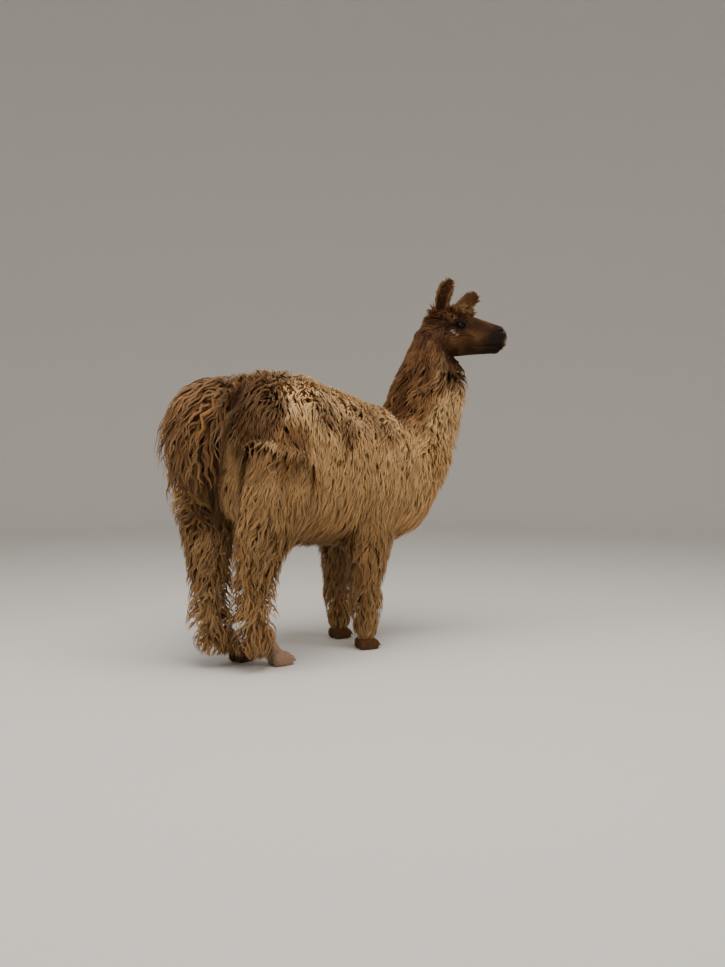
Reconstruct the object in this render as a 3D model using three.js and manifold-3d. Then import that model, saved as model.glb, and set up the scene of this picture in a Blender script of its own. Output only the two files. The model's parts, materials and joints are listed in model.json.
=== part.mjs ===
// A life-size standing llama, modelled as a still museum figure.
//
// Millimetres, +X the way the body faces, +Y the animal's left, +Z up. The four soles
// stand on z = 0, and the origin is the bottom centre of the animal's bounding box.
// Each part's outline is the outside of its coat, out to the tips of the locks.
//
// Every soft part is a loft: rings of points round a smooth spine, with rounded ends.
// Neighbouring lofts are parted by cutting one with a copy of the other that is JOINT
// wider all over, which leaves a thin joint between the two solids.

import * as THREE from "three";
import { LoftGeometry } from "three/addons/geometries/LoftGeometry.js";
import { mergeVertices } from "three/addons/utils/BufferGeometryUtils.js";
import Module from "manifold-3d";

const wasm = await Module();
wasm.setup();

// ---------------------------------------------------------------- driving dimensions

const JOINT = 0.4; // gap between neighbouring solids
const ORIGIN_SHIFT = [-66, 123, 0]; // brings the box's bottom centre to the origin

const TOPLINE = { croup: 1205, rump: 1228, loin: 1182, withers: 1142, shoulder: 1088 };
const UNDERLINE = { groin: 600, flank: 520, belly: 505, brisket: 500, chest: 530 };
const TRUNK_HALF_WIDTH = 268;

const HEAD_TURN = -62; // degrees the head is turned from the body's line, to the right
const HEAD_DIP = 10; // degrees the muzzle points below level
const POLL = [582, -243, 1444]; // where the head's own axis starts, between the ears
const HEAD_LENGTH = 328; // from the poll to the front of the upper lip
const EYE_RADIUS = 19;
const EYE_AT = { ahead: 119, out: 59, up: 42 }; // from the poll, in the head's own frame
const EAR_LENGTH = 192;
const EAR_ROOT = { ahead: 14, out: 46, up: 56 };

const HOCK_SET_BACK = 144; // how far the hock's fleece stands behind the hind foot
const PASTERN_RADIUS = 24;
const TOE_LENGTH = 98;
const TOE_HALF_WIDTH = 22;

// Where each foot stands, and which way its toes point, in degrees from +X.
const FEET = {
  fore_right: { x: 236, y: -124, turn: -16, front: true, side: -1 },
  fore_left: { x: 306, y: 126, turn: -8, front: true, side: 1 },
  hind_right: { x: -226, y: -80, turn: -6, front: false, side: -1 },
  hind_left: { x: -300, y: 86, turn: 6, front: false, side: 1 },
};

const COAT = {
  cream: 0xb39a72,
  brown: 0x5d4128,
  dark: 0x3a281b,
  ochre: 0x8f7148,
};
const HORN_COLOUR = 0x2b2420;
const EYE_COLOUR = 0x0d0a09;

// ---------------------------------------------------------------- lofts and solids

const vec = (p) => new THREE.Vector3(...p);
const radians = THREE.MathUtils.degToRad;

// The rings of a loft. Each station is [x, y, z, half width, upper depth, lower depth], and
// a smooth curve runs through them. `left` is the way of the half width, and the upper
// side is tangent x left. An end is closed by an elliptical cap of the length given, and
// `grow` widens the whole loft. `square` is the exponent of the section's superellipse:
// 2 is an ellipse, and more is boxier.
const ROUND_CAP = [34, 60, 81]; // degrees round a cap at which its rings stand
const PLAIN_CAP = [52];

function rings(shape, grow = 0) {
  const { stations, left, sides, steps, capStart = 0, capEnd = 0, square = 2 } = shape;
  const capAngles = shape.capAngles ?? ROUND_CAP;
  const spine = new THREE.CatmullRomCurve3(stations.map((s) => vec(s.slice(0, 3))));
  const sizes = new THREE.CatmullRomCurve3(stations.map((s) => vec(s.slice(3))));
  spine.curveType = sizes.curveType = "catmullrom";

  const ring = (share, along, shrink) => {
    const tangent = spine.getTangent(share);
    const across = vec(left).addScaledVector(tangent, -vec(left).dot(tangent)).normalize();
    const upper = new THREE.Vector3().crossVectors(tangent, across);
    const size = sizes.getPoint(share);
    return Array.from({ length: sides }, (_, i) => {
      const angle = (2 * Math.PI * i) / sides;
      const [c, s] = [Math.cos(angle), Math.sin(angle)];
      const reach = (Math.abs(c) ** square + Math.abs(s) ** square) ** (-1 / square) * shrink;
      const depth = (s > 0 ? size.y : size.z) + grow;
      return spine
        .getPoint(share)
        .addScaledVector(tangent, along)
        .addScaledVector(across, reach * c * (size.x + grow))
        .addScaledVector(upper, reach * s * depth);
    });
  };
  const cap = (share, length) =>
    capAngles.map((degrees) => {
      const reach = length + Math.sign(length) * grow;
      return ring(share, reach * Math.sin(radians(degrees)), Math.cos(radians(degrees)));
    });

  const start = capStart ? cap(0, -capStart).reverse() : [];
  const end = capEnd ? cap(1, capEnd) : [];
  const middle = Array.from({ length: steps + 1 }, (_, k) => ring(k / steps, 0, 1));
  return [...start, ...middle, ...end];
}

// A closed three.js geometry as a solid that can be joined and cut.
function solid(geometry) {
  const bare = new THREE.BufferGeometry();
  bare.setAttribute("position", geometry.getAttribute("position").clone());
  if (geometry.index) bare.setIndex(geometry.index.clone());
  const merged = mergeVertices(bare, 1e-3);
  return new wasm.Manifold(
    new wasm.Mesh({
      numProp: 3,
      vertProperties: merged.attributes.position.array,
      triVerts: new Uint32Array(merged.index.array),
    }),
  );
}

const loft = (shape, grow = 0) =>
  solid(new LoftGeometry(rings(shape, grow), { capStart: true, capEnd: true }));

const ball = (centre, radii, across = 12, down = 8) =>
  solid(new THREE.SphereGeometry(1, across, down).scale(...radii).translate(...centre));

// The largest piece of a solid, which drops slivers that a cut leaves behind.
const whole = (shape) => shape.decompose().reduce((a, b) => (a.volume() > b.volume() ? a : b));

const group = new THREE.Group();

function place(name, shape, colour, roughness = 0.9) {
  const made = shape.getMesh();
  const points = new Float32Array(made.numVert * 3);
  for (let i = 0; i < made.numVert; i += 1) {
    const start = i * made.numProp;
    points.set(made.vertProperties.subarray(start, start + 3), i * 3);
  }
  const geometry = new THREE.BufferGeometry();
  geometry.setAttribute("position", new THREE.BufferAttribute(points, 3));
  geometry.setIndex(new THREE.BufferAttribute(made.triVerts, 1));
  geometry.computeVertexNormals();
  const material = new THREE.MeshStandardMaterial({ color: colour, roughness, metalness: 0 });
  const mesh = new THREE.Mesh(geometry, material);
  mesh.name = name;
  group.add(mesh);
}

// ---------------------------------------------------------------- trunk
// A deep barrel, highest over the rump, whose front bends to the right under the neck.

function trunkStation(x, y, top, bottom, width) {
  const half = (top - bottom) / 2;
  return [x, y, bottom + half, TRUNK_HALF_WIDTH * width, half, half];
}

const trunk = {
  stations: [
    trunkStation(-330, -4, TOPLINE.croup, UNDERLINE.groin, 0.9),
    trunkStation(-180, 8, TOPLINE.rump, UNDERLINE.flank, 1),
    trunkStation(10, 14, TOPLINE.loin, UNDERLINE.belly, 1.03),
    trunkStation(200, 2, TOPLINE.withers, UNDERLINE.brisket, 1),
    trunkStation(375, -52, TOPLINE.shoulder, UNDERLINE.chest, 0.88),
  ],
  left: [0, 1, 0],
  sides: 24,
  steps: 10,
  capStart: 125,
  capEnd: 205,
  square: 2.15,
};

// ---------------------------------------------------------------- neck
// Tall and thick with mane, it rises from the shoulders and curves to the right.

const neck = {
  stations: [
    [430, -54, 690, 190, 180, 218],
    [498, -98, 830, 188, 190, 226],
    [538, -134, 950, 176, 188, 218],
    [556, -170, 1080, 160, 186, 206],
    [564, -208, 1210, 144, 168, 202],
    [566, -228, 1330, 120, 126, 140],
    [574, -236, 1412, 100, 100, 72],
  ],
  left: [0.45, 0.9, 0],
  sides: 20,
  steps: 10,
  capStart: 130,
  capEnd: 60,
};

// ---------------------------------------------------------------- head
// In the head's own frame x runs from the poll to the nose, y to its left and z up.

const headTurn = new THREE.Matrix4().makeRotationZ(radians(HEAD_TURN));
headTurn.multiply(new THREE.Matrix4().makeRotationY(radians(HEAD_DIP)));
headTurn.setPosition(...POLL);

const onHead = (shape) => shape.transform([...headTurn.elements]);

const MUZZLE_CAP = 22;
const skull = {
  stations: [
    [0, 0, 0, 84, 90, 100],
    [60, 0, 0, 88, 98, 110],
    [118, 0, 0, 78, 98, 102],
    [165, 0, 0, 62, 94, 90],
    [207, 0, 0, 51, 84, 80],
    [250, 0, 0, 46, 74, 71],
    [290, 0, 0, 44, 64, 60],
    [HEAD_LENGTH - MUZZLE_CAP, 0, 0, 37, 50, 38],
  ],
  left: [0, 1, 0],
  sides: 18,
  steps: 11,
  capStart: 64,
  capEnd: MUZZLE_CAP,
  square: 2.2,
};
const topknot = { at: [100, 0, 100], radii: [76, 54, 60] };

// An ear is a long leaf that leans forward by `lean` degrees, bows back and outward, and
// curves in again to its tip. The same shape at `size` of its width, moved outward by
// `offset`, hollows it.
function ear({ side, lean, spread, bow, facing }, size = 1, offset = 0) {
  const way = new THREE.Vector3(
    Math.tan(radians(lean)),
    side * Math.tan(radians(spread)),
    1,
  ).normalize();
  const root = [EAR_ROOT.ahead, side * EAR_ROOT.out, EAR_ROOT.up];
  const station = (share, out, width, thick) => {
    const point = vec(root).addScaledVector(way, share * EAR_LENGTH);
    const sizes = [width * size, thick * size, thick * size];
    return [point.x - bow * out, point.y + side * (out * 0.6 + offset), point.z, ...sizes];
  };
  return {
    stations: [
      station(0.04, 2, 26, 22),
      station(0.26, 8, 33, 21),
      station(0.5, 16, 36, 17),
      station(0.74, 17, 29, 13),
      station(0.96, 4, 11, 7),
    ],
    left: [Math.cos(radians(facing)), side * Math.sin(radians(facing)), 0],
    sides: 10,
    steps: 8,
    capEnd: 8,
    capAngles: PLAIN_CAP,
  };
}

const HOLLOW = { size: 0.66, out: 15 };
const EARS = {
  right: { side: -1, lean: 12, spread: 6, bow: 1.1, facing: 10 },
  left: { side: 1, lean: 40, spread: 3, bow: 0.6, facing: 20 },
};

// ---------------------------------------------------------------- tail
// A short tail whose great plume of long hair hangs behind the rump, swept to the left.

const tail = {
  stations: [
    [-370, 16, 1172, 64, 40, 56],
    [-450, 44, 1146, 122, 50, 74],
    [-522, 80, 1020, 168, 78, 84],
    [-542, 110, 850, 174, 84, 86],
    [-524, 120, 690, 148, 76, 76],
    [-504, 116, 596, 112, 60, 62],
  ],
  left: [0, -1, 0],
  sides: 18,
  steps: 10,
  capStart: 30,
  capEnd: 80,
};

// ---------------------------------------------------------------- legs and feet

// Foreleg: nearly straight, from inside the chest down to the pastern.
const foreleg = ({ x, y, side }) => ({
  stations: [
    [x + 62, y, 740, 98, 125, 140],
    [x + 34, y + side * 6, 600, 96, 110, 140],
    [x + 10, y + side * 4, 430, 80, 84, 102],
    [x - 2, y, 280, 70, 68, 80],
    [x - 4, y, 160, 56, 52, 60],
    [x - 2, y, 92, 44, 42, 46],
  ],
  left: [0, 1, 0],
  sides: 14,
  steps: 10,
  capStart: 60,
  capEnd: 18,
});

// Hind leg: a broad thigh, the hock set back, and the shank sloping forward to the foot.
function hindleg({ x, y, side }) {
  const hock = x - HOCK_SET_BACK;
  return {
    stations: [
      [hock + 92, y + side * 86, 850, 112, 190, 190],
      [hock + 58, y + side * 80, 690, 112, 168, 178],
      [hock + 18, y + side * 46, 530, 100, 128, 130],
      [hock, y + side * 20, 395, 88, 102, 102],
      [hock - 2, y + side * 10, 280, 84, 100, 100],
      [hock + 4, y + side * 4, 170, 76, 92, 92],
      [hock + 22, y, 104, 58, 72, 70],
    ],
    left: [0, 1, 0],
    sides: 14,
    steps: 11,
    capStart: 80,
    capEnd: 22,
  };
}

// A foot: a bare pastern, and two soft toes side by side on flat soles.
const toeOffset = (which) => which * (TOE_HALF_WIDTH + 0.6);
const toe = (which, grow = 0) =>
  loft(
    {
      stations: [
        [-TOE_LENGTH * 0.34, toeOffset(which) * 0.86, 26, TOE_HALF_WIDTH * 0.88, 26, 28],
        [0, toeOffset(which), 28, TOE_HALF_WIDTH, 34, 34],
        [TOE_LENGTH * 0.34, toeOffset(which), 18, TOE_HALF_WIDTH * 0.86, 24, 24],
      ],
      left: [0, 1, 0],
      sides: 10,
      steps: 3,
      capStart: TOE_LENGTH * 0.16,
      capEnd: TOE_LENGTH * 0.16,
      capAngles: PLAIN_CAP,
      square: 2.4,
    },
    grow,
  );

const nail = (which) =>
  loft({
    stations: [
      [TOE_LENGTH * 0.3, toeOffset(which), 34, 11, 11, 7],
      [TOE_LENGTH * 0.48, toeOffset(which), 24, 10, 10, 8],
      [TOE_LENGTH * 0.63, toeOffset(which), 12, 5, 5, 4],
    ],
    left: [0, 1, 0],
    sides: 6,
    steps: 2,
  });

const pastern = (back) =>
  loft({
    stations: [
      [-back, 0, 150, PASTERN_RADIUS * 1.15, PASTERN_RADIUS * 1.2, PASTERN_RADIUS * 1.2],
      [-back * 0.55, 0, 92, PASTERN_RADIUS * 1.1, PASTERN_RADIUS * 1.1, PASTERN_RADIUS * 1.15],
      [-TOE_LENGTH * 0.12, 0, 40, PASTERN_RADIUS * 1.5, PASTERN_RADIUS, PASTERN_RADIUS * 1.3],
    ],
    left: [0, 1, 0],
    sides: 10,
    steps: 3,
    capEnd: 12,
    capAngles: PLAIN_CAP,
  });

// ---------------------------------------------------------------- assembly

const trunkWide = loft(trunk, JOINT);
const neckWide = loft(neck, JOINT);

const eyeAt = (side) => [EYE_AT.ahead, side * EYE_AT.out, EYE_AT.up];
const SIDES = { right: -1, left: 1 };
const widened = topknot.radii.map((r) => r + JOINT);
const headWide = onHead(loft(skull, JOINT)).add(onHead(ball(topknot.at, widened)));
let headSolid = onHead(loft(skull)).add(onHead(ball(topknot.at, topknot.radii)));
for (const side of Object.values(SIDES)) {
  headSolid = headSolid.subtract(onHead(ball(eyeAt(side), Array(3).fill(EYE_RADIUS + JOINT))));
}

place("trunk", loft(trunk), COAT.cream);
place("neck", whole(loft(neck).subtract(trunkWide).subtract(headWide)), COAT.cream);
place("head", headSolid, COAT.dark);
for (const [name, side] of Object.entries(SIDES)) {
  place(`eye_${name}`, onHead(ball(eyeAt(side), Array(3).fill(EYE_RADIUS))), EYE_COLOUR, 0.1);
  const leaf = loft(ear(EARS[name])).subtract(loft(ear(EARS[name], HOLLOW.size, HOLLOW.out)));
  place(`ear_${name}`, whole(onHead(leaf).subtract(headWide)), COAT.brown);
}

const legShape = (foot) => (foot.front ? foreleg(foot) : hindleg(foot));
const { hind_left: hindLeft, hind_right: hindRight } = FEET;
let tailSolid = loft(tail).subtract(trunkWide);
for (const foot of [hindLeft, hindRight]) tailSolid = tailSolid.subtract(loft(legShape(foot), JOINT));
place("tail", whole(tailSolid), COAT.brown);

const floor = solid(new THREE.BoxGeometry(4000, 4000, 400).translate(0, 0, -200));
for (const [name, foot] of Object.entries(FEET)) {
  const stand = new THREE.Matrix4().makeRotationZ(radians(foot.turn)).setPosition(foot.x, foot.y, 0);
  const standing = (made) => made.transform([...stand.elements]);
  const nails = { inner: -foot.side, outer: foot.side };
  const toes = toe(-1).add(toe(1)).subtract(floor);
  const bare = standing(toes.add(pastern(foot.front ? 14 : HOCK_SET_BACK * 0.62)));

  const leg = loft(legShape(foot)).subtract(trunkWide).subtract(neckWide);
  place(`leg_${name}`, whole(leg), COAT.ochre);
  place(`foot_${name}`, whole(bare.subtract(loft(legShape(foot), JOINT))), COAT.dark);
  for (const [where, which] of Object.entries(nails)) {
    const cut = nail(which).subtract(toe(-1, JOINT)).subtract(toe(1, JOINT));
    place(`nail_${name}_${where}`, standing(whole(cut)), HORN_COLOUR, 0.5);
  }
}

group.position.set(...ORIGIN_SHIFT);

export default group;
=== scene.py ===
# A life-size standing llama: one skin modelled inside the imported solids, dark glassy eyes,
# horn toenails, and a coat of meshed locks that follow the lie of the fleece.

import json
import math

import bmesh
import bpy
import numpy as np
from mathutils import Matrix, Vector

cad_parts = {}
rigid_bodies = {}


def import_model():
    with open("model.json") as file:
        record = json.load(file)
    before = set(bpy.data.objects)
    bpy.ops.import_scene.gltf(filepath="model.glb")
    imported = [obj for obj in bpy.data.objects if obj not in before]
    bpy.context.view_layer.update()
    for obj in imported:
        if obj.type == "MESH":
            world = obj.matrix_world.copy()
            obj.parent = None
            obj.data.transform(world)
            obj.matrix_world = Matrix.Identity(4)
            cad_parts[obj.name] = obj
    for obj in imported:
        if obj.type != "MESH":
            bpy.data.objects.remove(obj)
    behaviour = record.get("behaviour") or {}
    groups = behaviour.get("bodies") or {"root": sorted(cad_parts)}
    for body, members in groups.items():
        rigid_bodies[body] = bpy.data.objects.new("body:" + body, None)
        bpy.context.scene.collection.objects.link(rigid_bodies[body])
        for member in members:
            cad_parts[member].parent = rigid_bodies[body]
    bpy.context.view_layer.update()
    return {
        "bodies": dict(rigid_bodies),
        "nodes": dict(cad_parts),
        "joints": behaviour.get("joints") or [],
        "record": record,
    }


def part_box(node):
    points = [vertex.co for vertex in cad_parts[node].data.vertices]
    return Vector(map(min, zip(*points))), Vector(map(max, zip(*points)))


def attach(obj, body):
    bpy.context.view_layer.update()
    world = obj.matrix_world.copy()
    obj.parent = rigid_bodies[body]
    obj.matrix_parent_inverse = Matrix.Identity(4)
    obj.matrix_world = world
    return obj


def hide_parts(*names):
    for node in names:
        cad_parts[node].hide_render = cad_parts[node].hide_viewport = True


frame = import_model()

# ------------------------------------------------------------------ floor, light, camera
# The museum model stands on a plain pale floor that rolls up behind it, under one wide
# softbox overhead and two fainter panels, and is seen from its right side and behind.

EYE_POINT = Vector((-2.409, -2.554, 0.830))
VIEW_TURN = math.radians(45)  # the camera looks between +X and +Y
VIEW_DIP = math.radians(1.38)
LENS_MM = 30.155
FLOOR_COLOUR = (0.72, 0.70, 0.67, 1)
WALL_COLOUR = (0.84, 0.81, 0.77, 1)
WALL_STRENGTH = 0.70
LAMP_COLOUR = (1.0, 0.95, 0.89)
# Each round panel: its place, the point it faces, its diameter, all in metres, and watts.
LAMPS = {"sky_panel": ((-0.9, -1.2, 4.4), (0, 0, 0.8), 3.6, 190),
         "right_panel": ((1.6, -4.4, 2.6), (0.1, 0, 0.9), 2.4, 56),
         "left_panel": ((-4.2, 1.4, 2.8), (-0.2, 0.1, 0.9), 2.4, 62)}


def mesh_object(name, points, faces):
    """A smooth object at the origin, with these points and these equal-sided faces."""
    points = np.asarray(points, np.float32)
    faces = np.asarray(faces, np.int32)
    sides = faces.shape[1]
    mesh = bpy.data.meshes.new(name)
    mesh.vertices.add(len(points))
    mesh.vertices.foreach_set("co", points.ravel())
    mesh.loops.add(faces.size)
    mesh.loops.foreach_set("vertex_index", faces.ravel())
    mesh.polygons.add(len(faces))
    mesh.polygons.foreach_set("loop_start", np.arange(0, faces.size, sides, dtype=np.int32))
    mesh.polygons.foreach_set("use_smooth", np.full(len(faces), True))
    mesh.update(calc_edges=True)
    made = bpy.data.objects.new(name, mesh)
    bpy.context.scene.collection.objects.link(made)
    return made


def grid_faces(rows, columns):
    """The quads of a grid of points, row after row, whose rows close on themselves."""
    i, j = np.meshgrid(np.arange(rows - 1), np.arange(columns), indexing="ij")
    k = (j + 1) % columns
    quads = [i * columns + j, i * columns + k, (i + 1) * columns + k, (i + 1) * columns + j]
    return np.stack(quads, -1).reshape(-1, 4)


def rolled_floor(flat, bend, rise, around=96):
    """A disc of radius `flat` whose rim turns up through a quarter circle of radius `bend`
    and goes on straight up to the height `rise`."""
    turn = np.linspace(0, math.pi / 2, 12)
    radius = np.concatenate([[0.01, flat / 2], flat + bend * np.sin(turn), [flat + bend]])
    height = np.concatenate([[0, 0], bend * (1 - np.cos(turn)), [rise]])
    angle = np.linspace(0, 2 * math.pi, around, endpoint=False)
    x, y = radius[:, None] * np.cos(angle), radius[:, None] * np.sin(angle)
    points = np.stack([x, y, np.repeat(height[:, None], around, 1)], -1)
    return points.reshape(-1, 3), grid_faces(len(radius), around)[:, ::-1]


def new_material(name, roughness=0.8):
    """A material, its node tree and its Principled shader."""
    made = bpy.data.materials.new(name)
    made.use_nodes = True
    shader = made.node_tree.nodes["Principled BSDF"]
    shader.inputs["Roughness"].default_value = roughness
    return made, made.node_tree, shader


floor = mesh_object("studio_floor", *rolled_floor(flat=7.0, bend=3.0, rise=16.0))
floor_paint, _, floor_shader = new_material("pale_floor", 0.9)
floor_shader.inputs["Base Color"].default_value = FLOOR_COLOUR
floor.data.materials.append(floor_paint)

world = bpy.data.worlds.new("studio")
world.use_nodes = True
world.node_tree.nodes["Background"].inputs["Color"].default_value = WALL_COLOUR
world.node_tree.nodes["Background"].inputs["Strength"].default_value = WALL_STRENGTH
bpy.context.scene.world = world

for name, (place, target, size, power) in LAMPS.items():
    light = bpy.data.lights.new(name, "AREA")
    light.shape = "DISK"
    light.size = size
    light.energy = power
    light.color = LAMP_COLOUR
    panel = bpy.data.objects.new(name, light)
    panel.location = place
    panel.rotation_euler = (Vector(target) - Vector(place)).to_track_quat("-Z", "Y").to_euler()
    bpy.context.scene.collection.objects.link(panel)

camera = bpy.data.objects.new("camera", bpy.data.cameras.new("camera"))
camera.data.lens = LENS_MM
camera.location = EYE_POINT
look = Vector((math.cos(VIEW_TURN), math.sin(VIEW_TURN), -math.tan(VIEW_DIP)))
camera.rotation_euler = look.to_track_quat("-Z", "Y").to_euler()
bpy.context.scene.collection.objects.link(camera)
bpy.context.scene.camera = camera

# ------------------------------------------------------------------ skin
# One hide covers trunk, neck, head, ears, dock, legs and feet without a seam, as on a mounted
# animal. It is drawn over soft forms, 9 mm between points on the body and finer on head and
# feet, which are knitted on at the upper neck and above the pasterns.

# Flesh and fleece are both lofts round smooth spines: rings of half widths and depths with
# round ends. The flesh lies inside the outline of the fleece by the coat's depth there.
PLACE = np.array([-0.066, 0.123, 0.0])  # moves the body's own frame onto the model's
HEAD_TURN, HEAD_DIP = math.radians(-62), math.radians(10)
POLL = np.array([0.582, -0.243, 1.444])  # where the head sits on the neck
HOCK_SET_BACK = 144  # mm from the hind foot back to the hock
LOFT_MARGIN = 0.08  # a loft acts on points this far outside it
LEAST_FLESH = 0.003  # no half width of flesh is less
FLEECE_BLEND = 0.02  # how wide the fleeces of two parts round into each other
FAR = 0.1  # distances are cut off here


def unit(v):
    """Vectors of length 1, of the same direction."""
    return v / np.maximum(np.linalg.norm(v, axis=-1, keepdims=True), 1e-9)


def along(points, count):
    """A uniform Catmull-Rom curve through the rows of `points`, at `count` even steps."""
    ends = np.vstack([2 * points[0] - points[1], points, 2 * points[-1] - points[-2]])
    t = np.linspace(0, len(points) - 1, count)
    i = np.minimum(t.astype(int), len(points) - 2)
    f = (t - i)[:, None]
    a, b, c, d = ends[i], ends[i + 1], ends[i + 2], ends[i + 3]
    bend = (2 * a - 5 * b + 4 * c - d) * f**2 + (3 * b - a - 3 * c + d) * f**3
    return b + 0.5 * ((c - a) * f + bend)


class Loft:
    """A closed surface round a spine. A station is x, y, z, half width, upper depth, lower
    depth and the coat's depth there, in millimetres. `left` is the way of the half width,
    and the upper side is tangent x left. `frame` is a rotation and an origin in metres."""

    def __init__(self, stations, left, caps, square=2.0, blend=0.05, frame=None):
        rows = along(np.array(stations, float) / 1000, 4 * len(stations) - 3)
        turn, origin = frame or (np.eye(3), np.zeros(3))
        self.square, self.blend = square, blend
        self.centre = (rows[:, :3] @ turn.T + origin + PLACE).astype(np.float32)
        self.tangent = unit(np.gradient(self.centre, axis=0))
        left = turn @ np.array(left, float)
        self.across = unit(left - self.tangent * (self.tangent @ left)[:, None])
        self.upper = np.cross(self.tangent, self.across)
        self.sizes, self.coat = rows[:, 3:6], np.maximum(rows[:, 6], 0.0005)
        self.caps = np.array(caps, float) / 1000
        reach = max(self.sizes.max(), self.caps.max()) + LOFT_MARGIN
        self.low, self.high = self.centre.min(0) - reach, self.centre.max(0) + reach

    def foot(self, points):
        """The nearest place on the spine to each point, as a share of its steps."""
        best = np.full(len(points), 1e9, np.float32)
        share = np.zeros(len(points), np.float32)
        for j in range(len(self.centre) - 1):
            step = self.centre[j + 1] - self.centre[j]
            off = points - self.centre[j]
            t = np.clip(off @ step / (step @ step), 0, 1)
            far = ((off - t[:, None] * step) ** 2).sum(1)
            near = far < best
            best[near], share[near] = far[near], (j + t)[near]
        return share

    def at(self, rows, share):
        """The value of a row of the loft at each share of its spine."""
        i = np.minimum(share.astype(int), len(self.centre) - 2)
        f = share - i
        if rows.ndim == 2:
            f = f[:, None]
        return rows[i] * (1 - f) + rows[i + 1] * f

    def offsets(self, points):
        """Each point's share along the spine, and how far it lies ahead, across and up."""
        share = self.foot(points)
        off = points - self.at(self.centre, share)
        ends = (share <= 0) | (share >= len(self.centre) - 1)
        ahead = np.where(ends, (off * self.at(self.tangent, share)).sum(1), 0)
        side = (off * self.at(self.across, share)).sum(1)
        return share, ahead, side, (off * self.at(self.upper, share)).sum(1)

    def reach(self, points, insets):
        """Signed distance, near enough, to the surface drawn in by a share of the coat's
        depth: the offset's length times 1 - 1/rho, where rho is 1 on the surface."""
        share, ahead, side, up = self.offsets(points)
        size, coat = self.at(self.sizes, share), self.at(self.coat, share)
        cap = np.where(ahead < 0, self.caps[0], self.caps[1])
        depth = np.where(up > 0, size[:, 1], size[:, 2])
        length = np.sqrt(ahead**2 + side**2 + up**2) + 1e-6
        found = []
        for inset in insets:
            less = coat * inset
            across = np.abs(side) / np.maximum(size[:, 0] - less, LEAST_FLESH)
            upward = np.abs(up) / np.maximum(depth - less, LEAST_FLESH)
            onward = np.abs(ahead) / np.maximum(cap - less, LEAST_FLESH)
            flat = (across**self.square + upward**self.square) ** (2 / self.square)
            found.append(length * (1 - 1 / np.sqrt(flat + onward**2 + 1e-9)))
        return found


def turned(azimuth, dip=0.0):
    """The rotation by `dip` about Y, then by `azimuth` about Z."""
    ca, sa, cd, sd = math.cos(azimuth), math.sin(azimuth), math.cos(dip), math.sin(dip)
    about_z = np.array([[ca, -sa, 0], [sa, ca, 0], [0, 0, 1]])
    return about_z @ np.array([[cd, 0, sd], [0, 1, 0], [-sd, 0, cd]])


def trunk_station(x, y, top, bottom, width, coat):
    """A round station between two heights, whose width is a share of the barrel's."""
    half = (top - bottom) / 2
    return [x, y, bottom + half, 268 * width, half, half, coat]


def foreleg(x, y, side):
    """Stations from the elbow down to the fetlock over a foot at x, y."""
    return [[x + 62, y, 740, 98, 125, 140, 48], [x + 34, y + side * 6, 600, 96, 110, 140, 50],
            [x + 10, y + side * 4, 430, 80, 84, 102, 42], [x - 2, y, 280, 70, 68, 80, 38],
            [x - 4, y, 160, 56, 52, 60, 32], [x - 2, y, 92, 44, 42, 46, 22]]


def hindleg(x, y, side):
    """Stations from the thigh over the hock down to the fetlock over a foot at x, y."""
    hock = x - HOCK_SET_BACK
    return [[hock + 92, y + side * 86, 850, 112, 190, 190, 50],
            [hock + 58, y + side * 80, 690, 112, 168, 178, 54],
            [hock + 18, y + side * 46, 530, 100, 128, 130, 56],
            [hock, y + side * 20, 395, 88, 102, 102, 58],
            [hock - 2, y + side * 10, 280, 84, 100, 100, 64],
            [hock + 4, y + side * 4, 170, 76, 92, 92, 58],
            [hock + 22, y, 104, 58, 72, 70, 38]]


# Stations of the tail's outline, locks and all, and of the dock of flesh inside it.
TAIL = [[-370, 16, 1172, 64, 40, 56, 24], [-450, 44, 1146, 122, 50, 74, 40],
        [-522, 80, 1020, 168, 78, 84, 60], [-542, 110, 850, 174, 84, 86, 70],
        [-524, 120, 690, 148, 76, 76, 70], [-504, 116, 596, 112, 60, 62, 60]]
DOCK = [[-350, 14, 1130, 40, 34, 40, 1], [-425, 42, 1105, 32, 30, 32, 1],
        [-478, 62, 1035, 26, 24, 24, 1], [-494, 76, 945, 18, 16, 16, 1]]

head_frame = (turned(HEAD_TURN, HEAD_DIP), POLL)
trunk = Loft([trunk_station(-330, -4, 1205, 600, 0.9, 56), trunk_station(-180, 8, 1228, 520, 1, 60),
              trunk_station(10, 14, 1182, 505, 1.03, 60), trunk_station(200, 2, 1142, 500, 1, 60),
              trunk_station(375, -52, 1088, 530, 0.88, 56)],
             (0, 1, 0), (125, 205), square=2.15, blend=0.06)
neck = Loft([[430, -54, 690, 190, 180, 218, 54], [498, -98, 830, 188, 190, 226, 56],
             [538, -134, 950, 176, 188, 218, 60], [556, -170, 1080, 160, 186, 206, 64],
             [564, -208, 1210, 144, 168, 202, 64], [566, -228, 1330, 120, 126, 140, 46],
             [574, -236, 1412, 100, 100, 72, 24]],
            (0.45, 0.9, 0), (130, 60), blend=0.06)
head = Loft([[0, 0, 0, 84, 90, 100, 12], [60, 0, 0, 88, 98, 110, 13],
             [118, 0, 0, 78, 98, 102, 10], [165, 0, 0, 62, 94, 90, 7],
             [207, 0, 0, 51, 84, 80, 5], [250, 0, 0, 46, 74, 71, 4],
             [290, 0, 0, 44, 64, 60, 3], [306, 0, 0, 37, 50, 38, 2]],
            (0, 1, 0), (64, 22), square=2.2, blend=0.04, frame=head_frame)
tail = Loft(TAIL, (0, -1, 0), (30, 80), blend=0.03)
dock = Loft(DOCK, (0, -1, 0), (20, 20), blend=0.04)

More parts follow.
